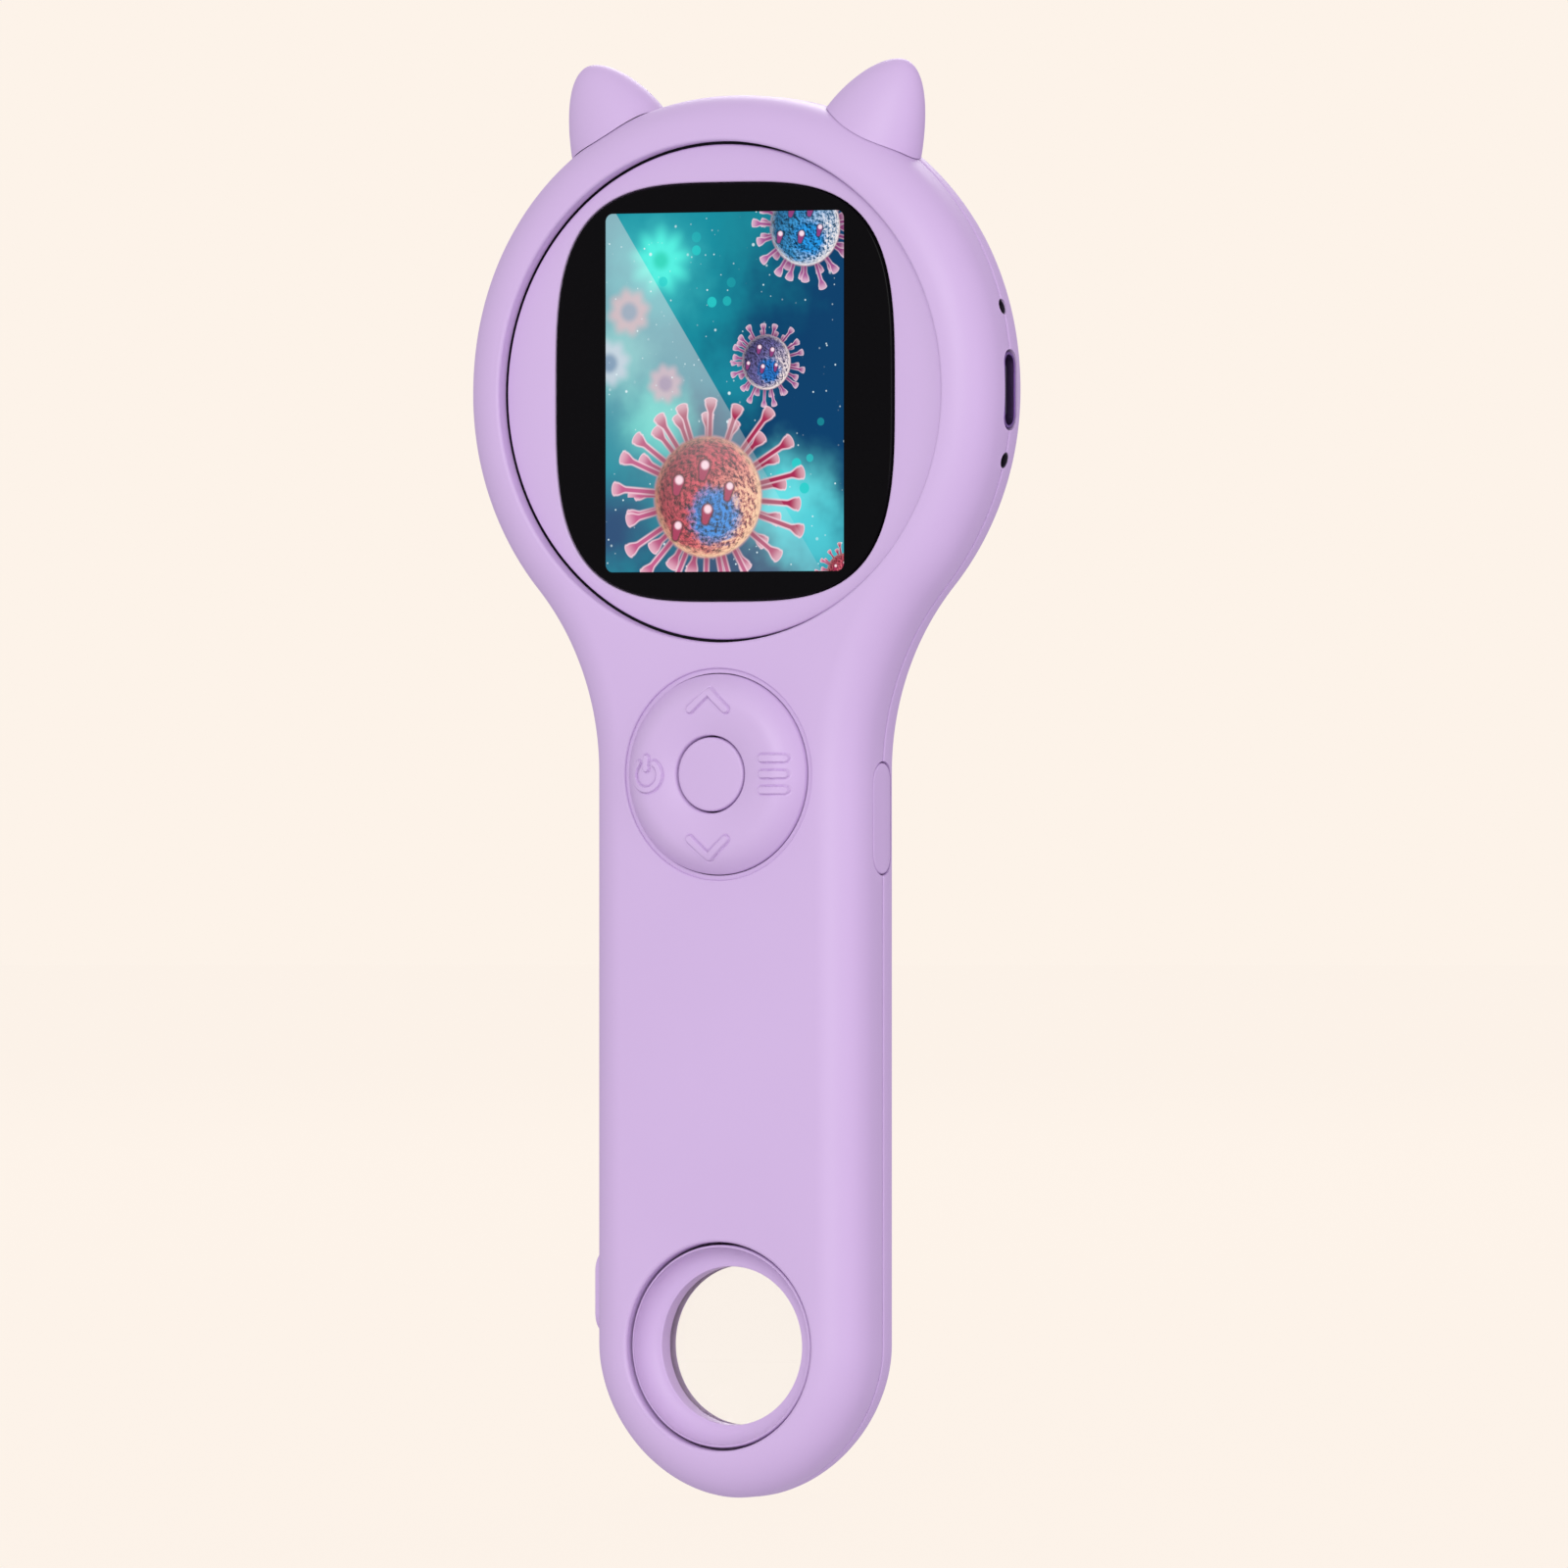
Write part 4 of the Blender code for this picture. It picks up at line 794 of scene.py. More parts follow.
def grown_case(extra):
    """The whole outer form of the case, larger all round by extra."""
    case = bpy.context.scene.microscope_case
    halves = []
    for face_y, fillet in ((FRONT_FACE, case.front_fillet), (BACK_FACE, case.back_fillet)):
        way = outward(face_y)
        corner = face_y - way * fillet
        radius = fillet + extra
        halves.append([
            (radius * c - extra, corner + way * radius * (1.0 - s))
            for s, c in quarter(FILLET_STEPS)
        ])
    return joined(
        outline_skin(halves[0][::-1] + halves[1]),
        flat_face(case_outline(case.front_fillet), [], FRONT_FACE - extra),
        flat_face(case_outline(case.back_fillet), [], BACK_FACE + extra),
    )


def ear_mesh(side):
    """A soft cone with an oval section that leans and bends outwards, its foot inside the head."""
    case = bpy.context.scene.microscope_case
    place_angle = math.radians(29.5)
    lean_angle = math.radians(21.2)
    rim = HEAD_RADIUS - 3.2 * MM
    foot_y = -0.6 * MM
    bend = 1.15 * MM
    tip_swell = 0.002
    rows = 48
    turns = 96
    lean = Vector((side * math.sin(lean_angle), 0.0, math.cos(lean_angle)))
    across = Vector((lean.z, 0.0, -lean.x))
    depth = Vector((0.0, 1.0, 0.0))
    foot = Vector((
        side * rim * math.sin(place_angle), foot_y, HEAD_HEIGHT + rim * math.cos(place_angle),
    ))
    rings = []
    for step in range(rows + 1):
        rise = 1.0 - (1.0 - step / rows) ** 2.2
        swell = max(1.0 - rise**1.5, 0.0) ** 0.54 if step < rows else tip_swell
        spine = foot + lean * case.ear_height * rise + across * side * bend * rise**2
        arms = [
            across * x * case.ear_width + depth * y * case.ear_depth
            for x, y in circle(1.0, (0.0, 0.0), turns)
        ]
        rings.append([spine + arm * swell for arm in arms])
    return capped(rings)


class MICROSCOPE_OT_ears(bpy.types.Operator):
    """Make the two soft ears that sit on the head's rim"""

    bl_idname = "microscope.make_ears"
    bl_label = "Make ears"

    def execute(self, context):
        for side, name in ((-1, "ear_left"), (1, "ear_right")):
            ear = plain_object(f"fine_{name}", ear_mesh(side))
            carved(ear, grown_case(0.1 * MM))
            finish_lilac(ear, "case", name)
        return {"FINISHED"}


# ---------------------------------------------------------------- display


# Round knobs on a microbe's face: (share of its radius, way round in radians, size)
KNOBS = (
    (0.6, 1.95, 0.1), (0.5, 0.95, 0.1), (0.22, 3.9, 0.095), (0.42, 5.9, 0.08), (0.74, 3.1, 0.085),
)
# Microbes: middle, radius, spikes, reach, (body, patch, rim, spikes, spike edge), turn
CRIMSON_SPIKES = ((0.55, 0.1, 0.25), (0.4, 0.025, 0.09))
MAUVE_SPIKES = ((0.42, 0.12, 0.33), (0.28, 0.05, 0.2))
MICROBES = (
    (
        (10.4, 18.6), 4.5, 19, 6.9,
        ((0.03, 0.2, 0.42), (0.01, 0.16, 0.4), (0.98, 0.88, 0.84), MAUVE_SPIKES, (0.95, 0.74, 0.84)),
        0.3,
    ),
    (
        (5.4, 3.3), 3.15, 17, 4.9,
        ((0.1, 0.09, 0.24), (0.01, 0.1, 0.32), (1.0, 0.86, 0.8), MAUVE_SPIKES, (0.95, 0.74, 0.84)),
        0.1,
    ),
    (
        (15.4, -20.6), 2.2, 14, 3.5,
        ((0.5, 0.08, 0.12), (0.3, 0.05, 0.1), (0.9, 0.6, 0.55), CRIMSON_SPIKES, (0.95, 0.7, 0.74)),
        0.6,
    ),
    (
        (-2.1, -11.9), 7.0, 20, 11.9,
        ((0.42, 0.05, 0.07), (0.02, 0.13, 0.36), (1.0, 0.66, 0.4), CRIMSON_SPIKES, (1.0, 0.72, 0.8)),
        0.75,
    ),
)
# Soft clouds in the water: x, z, size, colour, strength
CLOUDS = (
    (-9.0, 14.0, 9.5, (0.05, 0.52, 0.55), 0.8), (-14.0, 4.0, 7.0, (0.2, 0.62, 0.6), 0.75),
    (-8.5, -3.2, 6.5, (0.16, 0.75, 0.66), 0.85), (8.5, -12.5, 9.0, (0.14, 0.78, 0.82), 0.95),
    (12.0, -17.0, 7.5, (0.08, 0.62, 0.7), 0.85), (-14.5, -15.5, 7.5, (0.02, 0.05, 0.16), 0.9),
    (1.5, 1.0, 6.0, (0.01, 0.3, 0.4), 0.6), (7.0, 6.0, 7.5, (0.0, 0.045, 0.14), 0.7),
    (13.0, -4.0, 7.0, (0.0, 0.05, 0.15), 0.6), (3.0, 18.0, 6.0, (0.01, 0.26, 0.33), 0.5),
)
# Far microbes out of focus: x, z, size, colour, middle's colour
BLURS = (
    (-12.3, 9.2, 2.3, (0.72, 0.38, 0.42), (0.1, 0.24, 0.38)),
    (-14.9, 3.4, 2.3, (0.6, 0.62, 0.74), (0.03, 0.16, 0.33)),
    (-7.6, 1.0, 1.9, (0.7, 0.4, 0.48), (0.3, 0.2, 0.36)),
)
# Bright round drops: x, z, size, strength
DROPS = (
    (-3.6, 16.1, 0.62, 0.75), (-1.6, 10.2, 0.66, 0.8), (0.35, 10.3, 0.6, 0.5),
    (-7.9, 12.6, 0.62, 0.7), (9.3, -8.2, 0.66, 0.85), (10.3, -11.0, 0.68, 0.9),
    (7.2, -9.4, 0.6, 0.4), (-3.6, 17.6, 0.66, 0.3), (11.0, -7.6, 0.5, 0.6),
    (0.9, 12.4, 0.62, 0.25), (12.4, -3.5, 0.5, 0.3),
)


def plate(name, outer, holes, front_y, back_y):
    """A flat plate with a rounded front edge. The outer loop and the holes are (x, z) loops."""
    soft_holes = [shrunk(hole, -PLATE_LIP) for hole in holes]
    parts = [
        flat_face(shrunk(outer, PLATE_LIP), soft_holes, front_y), flat_face(outer, holes, back_y),
    ]
    for loop, way in [(outer, 1.0)] + [(hole, -1.0) for hole in holes]:
        rings = []
        for s, c in quarter(5):
            edge = shrunk(loop, way * PLATE_LIP * s)
            rings.append([(x, front_y + PLATE_LIP * c, z) for x, z in edge])
        rings.append([(x, back_y, z) for x, z in loop])
        parts.append(skin(rings))
    return plain_object(name, joined(*parts))


def polar(p, place, centre):
    """x and z from a centre, the distance, and the way round, of a place in the picture."""
    x, _, z = p.separate(p.vector("SUBTRACT", place, (centre[0], 0.0, centre[1])))
    return x, z, (x * x + z * z).root(), z.angle_from(x)


def spike_layer(p, polar_place, radius, number, reach, turn, layer, colours):
    """Colour and cover of one ring of club-ended spikes."""
    spike, spike_edge = colours
    x, z, distance, angle = polar_place
    cell = math.tau / number
    turned_by = angle / cell + (turn + 0.43 * layer + 50.0)
    index = turned_by.rounded()
    chance = p.add("ShaderNodeTexWhiteNoise", noise_dimensions="1D")
    p.feed(chance.inputs["W"], index + (7.3 * layer + 3.7 * turn))
    jitter = p.separate(Value(p, chance.outputs["Color"]))
    off = (jitter[0] * -0.44 + (turned_by - index) + 0.22) * cell
    side = abs(distance * off.sine())
    along = distance * off.cosine()
    tip = (jitter[1] * 0.2 + 0.86) * reach
    left = (tip - along) / radius
    width = left.smooth(0.22, 0.04, 0.055, 0.112) * radius
    stalk = (side - width).most(along - tip)
    club = p.vector("LENGTH", p.combine((along - tip) * 2.1, side, 0.0)) - 0.12 * radius
    form = stalk.least(club).most(0.8 * radius - along)
    cover = form.smooth(0.02 * radius, -0.02 * radius)
    edge = form.smooth(-0.035 * radius, -0.01 * radius)
    tone = p.mix((x + z).smooth(-1.5 * radius, 1.5 * radius), *spike)
    tone = p.mix(left.smooth(0.16, -0.05, 0.0, 0.5), tone, spike_edge)
    shadow = (along / radius).smooth(1.35, 0.95, 0.0, 0.6)
    return p.mix(shadow, p.mix(edge * 0.8, tone, spike_edge), shade(spike[1], 0.5)), cover


def microbe_skin(p, x, z, share, centre, radius, colours):
    """Colour of a microbe's rough round body, lit from its right side."""
    body, patch, rim = colours
    height = (1.0 - share * share).most(0.0).root()
    normal = p.combine(x / radius, height, z / radius)
    ball = p.vector("ADD", normal, (centre[0], 3.1, centre[1]))
    grain = p.noise(ball, 8.0, 4.0, 0.7)
    lifted = p.noise(p.vector("ADD", ball, (0.035, 0.0, 0.035)), 8.0, 4.0, 0.7)
    relief = (grain - lifted) * 2.6 + 0.5
    light = p.vector("DOT_PRODUCT", normal, Vector((0.55, 0.45, -0.3)).normalized())
    texture = relief.smooth(0.0, 1.0) * light.smooth(-0.6, 0.9, 0.4, 1.2)
    colour = p.mix(texture, shade(body, 0.14), shade(body, 1.9))
    colour = p.mix(light.smooth(0.35, 1.05) * relief.smooth(0.2, 0.9), colour, rim)
    patch_away = ((x - 0.12 * radius) ** 2.0 + (z + 0.3 * radius) ** 2.0).root()
    patch_share = (patch_away / radius + grain * 0.5).smooth(0.82, 0.58)
    colour = p.mix(patch_share, colour, p.mix(texture, shade(patch, 0.12), shade(patch, 2.2)))
    rim_share = (share + grain * 0.3).smooth(0.98, 1.18)
    side_share = (x - z).smooth(-1.4 * radius, 1.2 * radius, 0.25, 1.0)
    return p.mix(rim_share * side_share, colour, rim)


def microbe(p, place, centre, radius, count, reach, colours, turn):
    """Colour and cover of a round microbe with club-ended spikes.

    place is the picture's (x, z) place in millimetres.
    """
    spike, spike_edge = colours[3:]
    polar_place = polar(p, place, centre)
    x, z, distance = polar_place[:3]
    share = distance / radius
    body_colour = microbe_skin(p, x, z, share, centre, radius, colours[:3])
    body_cover = share.smooth(1.03, 0.97)

    back = spike_layer(p, polar_place, radius, count - 3, 0.84 * reach, turn, 0, colours[3:])
    front = spike_layer(p, polar_place, radius, count, reach, turn, 1, colours[3:])
    colour = p.mix(front[1], back[0], front[0])
    colour = p.mix(body_cover * share.smooth(1.02, 0.95), colour, body_colour)
    cover = back[1].most(front[1]).most(body_cover)

    for out, way, size in KNOBS:
        arm = Vector((math.cos(way + turn), 0.0, math.sin(way + turn))) * out * radius
        head = Vector((centre[0], 0.0, centre[1])) + arm
        foot = head + Vector((-0.04, 0.0, -0.17)) * radius
        balls = []
        for part in range(4):
            away = p.vector("DISTANCE", place, foot.lerp(head, part / 3.0))
            balls.append(away - (0.6 + 0.13 * part) * size * radius)
        stem = balls[0].least(balls[1]).least(balls[2]).least(balls[3])
        colour = p.mix(stem.smooth(0.05 * radius, 0.0), colour, shade(colours[0], 0.25))
        colour = p.mix(stem.smooth(0.012 * radius, -0.012 * radius), colour, spike[1])
        glint = p.vector("DISTANCE", place, head + Vector((0.01, 0.0, 0.02)) * radius)
        colour = p.mix(glint.smooth(size * radius, 0.45 * size * radius), colour, spike_edge)
    return colour, cover


def blue_water(p, place, x, z):
    """Blue-green water with soft clouds, far microbes, drops and bright specks."""
    cloud = p.noise(place, 0.16, 3.0, 0.55)
    wave = p.noise(place, 0.34, 2.0, 0.5)
    drift = x * 0.045 + z * -0.018 + (cloud * 0.9 + 0.02)
    water = p.mix(drift.smooth(0.0, 0.85), (0.006, 0.27, 0.35), (0.001, 0.05, 0.145))
    for cloud_x, cloud_z, size, colour, strength in CLOUDS:
        away = p.vector("DISTANCE", place, (cloud_x, 0.0, cloud_z))
        away = away + (wave * (0.5 * size) - 0.25 * size)
        water = p.mix(away.smooth(size, 0.1 * size) * strength, water, colour)

    away, angle = polar(p, place, (-8.2, 15.0))[2:]
    bloom = away - (angle * 9.0).sine() * 0.32
    water = p.mix(bloom.smooth(4.6, 1.6) * 0.85, water, (0.1, 0.95, 0.8))
    water = p.mix(away.smooth(1.5, 0.4) * 0.7, water, (0.02, 0.6, 0.42))

    for blur_x, blur_z, size, colour, core in BLURS:
        away, angle = polar(p, place, (blur_x, blur_z))[2:]
        ring = away - (angle * 8.0).sine() * (0.08 * size)
        water = p.mix(ring.smooth(1.4 * size, 0.7 * size) * 0.75, water, colour)
        water = p.mix(away.smooth(0.66 * size, 0.25 * size) * 0.8, water, core)

    for drop_x, drop_z, size, strength in DROPS:
        away = p.vector("DISTANCE", place, (drop_x, 0.0, drop_z))
        water = p.mix(away.smooth(size, 0.82 * size) * strength, water, (0.02, 0.62, 0.6))

    for scale, rarest, seed in ((1.1, 0.28, 3.0), (0.6, 0.568, 11.0)):
        away, chance = p.cells(p.vector("ADD", place, (seed, 0.0, seed)), scale)
        speck = away.smooth(0.15, 0.07) * chance.smooth(rarest, 0.95)
        water = p.mix(speck * 0.9, water, (0.75, 0.92, 0.95))
    return water


def lit_area(p, x, z, display):
    """1 inside the picture's soft-cornered rectangle and 0 outside it."""
    corner = 0.9
    half_metres_in_mm = 500.0
    across = abs(x) - (half_metres_in_mm * display.picture_width - corner)
    upward = abs(z) - (half_metres_in_mm * display.picture_height - corner)
    outside = p.vector("LENGTH", p.combine(across.most(0.0), upward.most(0.0), 0.0))
    edge = outside + across.most(upward).least(0.0)
    return (edge - corner).smooth(0.04, -0.04)


def window_material(display):
    """The window: a black printed border and a lit picture of microbes in blue-green water."""
    p = Pattern("lit_window", Specular_IOR_Level=0.06)
    centred = p.vector("SUBTRACT", p.place, (0.15 * MM, 0.0, HEAD_HEIGHT))
    place = p.scaled(p.vector("MULTIPLY", centred, (1.0, 0.0, 1.0)), 1.0 / MM)
    x, y, z = p.separate(place)
    lit = lit_area(p, x, z, display)
    picture = blue_water(p, place, x, z)
    for kind in MICROBES:
        colour, cover = microbe(p, place, *kind)
        picture = p.mix(cover, picture, colour)

    # A slanted band of glare fades towards the lower left
    line = (x + 14.0) * 0.838 + (z - 20.4) * 0.545
    fade = line.smooth(-21.0, -1.0, 0.04, 0.27) * z.smooth(-16.0, 8.0, 0.35, 1.0)
    picture = p.mix(line.smooth(0.05, -0.05) * fade, picture, (0.88, 0.93, 0.95))

    border = p.noise(p.place, 2400.0, 2.0)
    dark = (0.002, 0.002, 0.002)
    p.colour(p.mix(lit, p.mix(border, dark, (0.003, 0.003, 0.003)), dark))
    p.feed(p.shader.inputs["Emission Color"], picture)
    p.feed(p.shader.inputs["Emission Strength"], lit * display.glow)
    p.roughness(border * 0.03 + 0.12)
    return p.material


class MICROSCOPE_OT_display(bpy.types.Operator):
    """Make the round surround and the black-bordered window with its lit picture"""

    bl_idname = "microscope.make_display"
    bl_label = "Make display"

    def execute(self, context):
        display = context.scene.microscope_display
        width, height, power = display.window_width, display.window_height, display.squareness
        gap = 0.3 * MM
        hole = squircle(width + gap, height + gap, power)
        rim = circle(SURROUND_RADIUS, HEAD, FINE_ROUND_STEPS)
        surround = plate("fine_display_surround", rim, [hole], SURROUND_FRONT, SURROUND_BACK)
        finish_lilac(surround, "case", "display_surround")
        front = SURROUND_FRONT - 0.15 * MM
        outline = squircle(width, height, power)
        window = plate("fine_display_window", outline, [], front, SURROUND_BACK)
        look = window_material(display)
        finish_piece(window, look, "case", "display_window", slot="window_glass")
        return {"FINISHED"}


# ---------------------------------------------------------------- front keys


def segment_distance(point, start, end):
    px, pz = point[0] - start[0], point[1] - start[1]
    ex, ez = end[0] - start[0], end[1] - start[1]
    share = max(0.0, min(1.0, (px * ex + pz * ez) / (ex * ex + ez * ez)))
    return math.hypot(px - share * ex, pz - share * ez)


def arrow_distance(x, rise):
    """Distance to the middle line of the up or down mark."""
    tip = (0.0, 9.42)
    return min(segment_distance((x, rise), tip, (foot, 7.35)) for foot in (-2.3, 2.3))


def menu_distance(x, z):
    """Distance to the middle lines of the three menu bars."""
    return min(segment_distance((x, z), (6.96, rise), (9.64, rise)) for rise in (-1.8, 0.0, 1.8))


def power_distances(x, z):
    """Distances to the bar and to the open circle of the power mark."""
    place = (x + 7.92, z + 0.1)
    bar = segment_distance(place, (0.0, 0.72), (0.0, 1.95))
    reach = 1.68
    open_angle = math.radians(38.0)
    angle = math.atan2(*place)
    if abs(angle) > open_angle:
        return bar, abs(math.hypot(*place) - reach)
    end_x = math.copysign(reach * math.sin(open_angle), angle)
    return bar, math.hypot(place[0] - end_x, place[1] - reach * math.cos(open_angle))


def mark_distance(x, z):
    """How far a place on the direction ring is outside the nearest mark, in millimetres."""
    if abs(z) > 6.0:
        return arrow_distance(x, abs(z)) - 0.4
    if x > 5.0:
        return menu_distance(x, z) - 0.42
    if x > -5.0:
        return 9.0
    bar, ring = power_distances(x, z)
    return min(bar - 0.34, ring - 0.32)


def mark_lift(away):
    """Height of a mark, as a share: a crisp edge with a fine crease round its foot."""
    edge = 0.06
    crease_width = 0.18
    crease_depth = 0.5
    if away < edge:
        share = max(0.0, min(1.0, 0.5 - 0.5 * away / edge))
        return share * share * (3.0 - 2.0 * share) * (1.0 + crease_depth) - crease_depth
    return -crease_depth * max(0.0, 1.0 - (away - edge) / crease_width)


def ring_line(keys, low, high):
    """The direction ring's (radius, y) line, and its outer radius above the moat."""
    outer = high.x - 1.1 * MM
    middle = 0.5 * (KEY_HOLE_RADIUS + outer)
    half = 0.5 * (outer - KEY_HOLE_RADIUS)
    crest_y = FRONT_FACE - keys.crest
    shoulder = FRONT_FACE + 2.3 * MM
    lip = 0.18 * MM
    lip_start = 0.95
    count = 116
    line = [(KEY_HOLE_RADIUS, high.y), (KEY_HOLE_RADIUS, crest_y + keys.dip + lip)]
    for step in range(count + 1):
        share = 2.0 * step / count - 1.0
        if share < 0.0:
            y = crest_y + keys.dip * share**2
            y += lip * max(0.0, (-share - lip_start) / (1.0 - lip_start)) ** 2
        else:
            y = crest_y + (keys.crest - 0.1 * MM) * share**2.3
        line.append((middle + half * share, y))
    line += [(outer + 0.03 * MM, FRONT_FACE + 0.4 * MM), (outer, shoulder)]
    line += [(high.x, shoulder), (high.x, high.y)]
    return line, outer


class MICROSCOPE_OT_front_keys(bpy.types.Operator):
    """Make the direction ring with its raised marks, and the middle key"""

    bl_idname = "microscope.make_front_keys"
    bl_label = "Make front keys"

    def execute(self, context):
        keys = context.scene.microscope_keys
        line, outer = ring_line(keys, *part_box("direction_ring"))
        plain_edge = 0.5 * MM
        steps = 720
        rings = []
        for radius, y in line:
            marked = KEY_HOLE_RADIUS + plain_edge < radius < outer - plain_edge
            points = []
            for x, z in circle(radius, (0.0, 0.0), steps):
                away = mark_distance(x / MM, z / MM) if marked else math.inf
                points.append((x, y - keys.mark_height * mark_lift(away), PAD_HEIGHT + z))
            rings.append(points)
        ring = plain_object("fine_direction_ring", joined(skin(rings, loop=True)))
        finish_lilac(ring, "direction_ring", "direction_ring", crease=math.radians(60.0))

        top = FRONT_FACE - keys.crest + keys.dip + 0.05 * MM
        soft = 0.3 * MM
        crown = 0.12 * MM
        flange = KEY_RADIUS + 1.2 * MM
        flange_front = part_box("rubber_pad")[0].y
        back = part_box("middle_key")[1].y
        shares = [step / 9.0 for step in range(9)]
        profile = [(share * (KEY_RADIUS - soft), top - crown * (1.0 - share**2)) for share in shares]
        profile += [(KEY_RADIUS - soft * s, top + soft * c) for s, c in quarter(5)]
        profile += [(KEY_RADIUS, flange_front), (flange, flange_front), (flange, back), (0.0, back)]
        finish_lilac(turned("fine_middle_key", profile, PAD), "middle_key", "middle_key")

        repaint(moulded("silicone", (0.45, 0.44, 0.47), 0.7, 0.1, specular=0.2), "rubber_pad")
        return {"FINISHED"}


# ---------------------------------------------------------------- side keys


def side_surface(y, z):
    """How far out the case's side is, level with the handle or the head."""
    case = bpy.context.scene.microscope_case
    inset = 0.0
    for fillet, depth in (
        (case.front_fillet, FRONT_FACE + case.front_fillet - y),
        (case.back_fillet, y - BACK_FACE + case.back_fillet),
    ):
        if depth > 0.0:
            inset = fillet - math.sqrt(fillet**2 - depth**2)
    if z > HEAD_HEIGHT - 0.5 * HEAD_RADIUS:
        return math.sqrt((HEAD_RADIUS - inset) ** 2 - (z - HEAD_HEIGHT) ** 2)
    return HANDLE_HALF_WIDTH - inset


def side_key_mesh(side, node, proud, edge):
    """A capsule key whose face follows the handle's side, with its rim behind the wall."""
    low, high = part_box(node)
    centre = (0.0, middle_of(node).z)
    width = high.y - low.y - 2.0 * KEY_RIM
    height = high.z - low.z - 2.0 * KEY_RIM
    inner = min(abs(low.x), abs(high.x))
    rim_out = inner + 0.7 * MM

    def outline(inset):
        return capsule(width - 2.0 * inset, height - 2.0 * inset, centre, KEY_STEPS)

    rings = []
    for grow, reach in ((KEY_RIM, inner), (KEY_RIM, rim_out), (0.0, rim_out)):
        rings.append([(side * reach, y, z) for y, z in outline(-grow)])
    levels = [(edge * c, edge * s) for s, c in quarter(8)]
    levels += [(0.5 * width - (0.5 * width - edge) * share, 0.0) for share in (0.75, 0.5, 0.25, 0.04)]
    for inset, drop in levels:
        places = outline(inset)
        rings.append([(side * (side_surface(y, z) + proud - drop), y, z) for y, z in places])
    return capped(rings)


class MICROSCOPE_OT_side_keys(bpy.types.Operator):
    """Make the flush key on the right side and the raised key on the left side"""

    bl_idname = "microscope.make_side_keys"
    bl_label = "Make side keys"

    def execute(self, context):
        edge = context.scene.microscope_keys.key_edge
        left_proud = 0.5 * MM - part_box("left_key")[0].x - HANDLE_HALF_WIDTH
        for side, node, proud in ((1, "right_key", 0.0), (-1, "left_key", left_proud)):
            key = plain_object(f"fine_{node}", joined(side_key_mesh(side, node, proud, edge)))
            finish_lilac(key, node, node)
        return {"FINISHED"}


# ---------------------------------------------------------------- magnifier


class MICROSCOPE_OT_magnifier(bpy.types.Operator):
    """Make the hollow ring and the clear lens in the handle's end"""

    bl_idname = "microscope.make_magnifier"
    bl_label = "Make magnifier"

    def execute(self, context):
        low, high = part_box("magnifier_ring")
        outer = high.x
        bore = outer - 2.5 * MM
        front = low.y + 0.25 * MM
        mouth = FRONT_FACE + 3.4 * MM
        soft = 0.25 * MM
        edge = 0.1 * MM
        bowl_depth = mouth - front - 0.2 * MM
        reach = outer - bore - soft - edge
        profile = [
            (outer, high.y), (bore, high.y), (bore, mouth + edge),
            (bore + 0.3 * edge, mouth + 0.3 * edge),
        ]
        for step in range(25):
            angle = math.radians(86.0) * step / 24
            out = bore + edge + reach * math.sin(angle)
            profile.append((out, mouth - bowl_depth * (1.0 - math.cos(angle))))
        profile += [(outer - soft * s, front + soft * c) for s, c in quarter(5)]
        ring = turned("fine_magnifier_ring", profile, EYE, FINE_ROUND_STEPS)
        finish_lilac(ring, "case", "magnifier_ring")

        low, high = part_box("magnifier_lens")
        crown = 0.55 * MM
        inner = bore - 0.3 * MM
        middle = low.y + high.y
        shares = [step / 24.0 for step in range(25)]
        face = [(inner * share, low.y + crown * share**2) for share in shares]
        rim = [(outer, low.y + crown), (outer, high.y - crown)]
        back = [(radius, middle - y) for radius, y in reversed(face)]
        lens = turned("fine_magnifier_lens", face + rim + back, EYE)
        glass = clear_plastic("magnifier_acrylic", (0.992, 1.0, 1.0), 0.005)
        finish_piece(lens, glass, "case", "magnifier_lens", slot="clear_plastic")
        return {"FINISHED"}


# ---------------------------------------------------------------- repeated details


class Tree:
    """A node tree that repeats its own mesh on points, as one mesh in one material."""

    def __init__(self, name, **sockets):
        self.group = bpy.data.node_groups.new(name, "GeometryNodeTree")
        kinds = {"Geometry": "Geometry", **sockets, "Material": "Material"}
        for label, kind in kinds.items():
            self.socket(label, "INPUT", kind)
        self.socket("Geometry", "OUTPUT", "Geometry")
        self.inputs = self.group.nodes.new("NodeGroupInput").outputs

    def socket(self, label, way, kind):
        self.group.interface.new_socket(label, in_out=way, socket_type=f"NodeSocket{kind}")

    def add(self, kind, inputs, **settings):
        """Adds a node, feeds its named inputs and gives its first output."""
        node = self.group.nodes.new(kind)
        for name, value in settings.items():
            setattr(node, name, value)
        for name, value in inputs.items():
            if isinstance(value, bpy.types.NodeSocket):
                self.group.links.new(value, node.inputs[name])
            else:
                node.inputs[name].default_value = value
        return node.outputs[0] if node.outputs else None

    def instances(self, points, **settings):
        copies = {"Points": points, "Instance": self.inputs["Geometry"], **settings}
        return self.add("GeometryNodeInstanceOnPoints", copies)

    def finished(self, geometry):
        """Makes the instances real, sets their material and ends the tree."""
        real = self.add("GeometryNodeRealizeInstances", {"Geometry": geometry})
        settings = {"Geometry": real, "Material": self.inputs["Material"]}
        painted = self.add("GeometryNodeSetMaterial", settings)
        self.add("NodeGroupOutput", {"Geometry": painted})
        return self.group


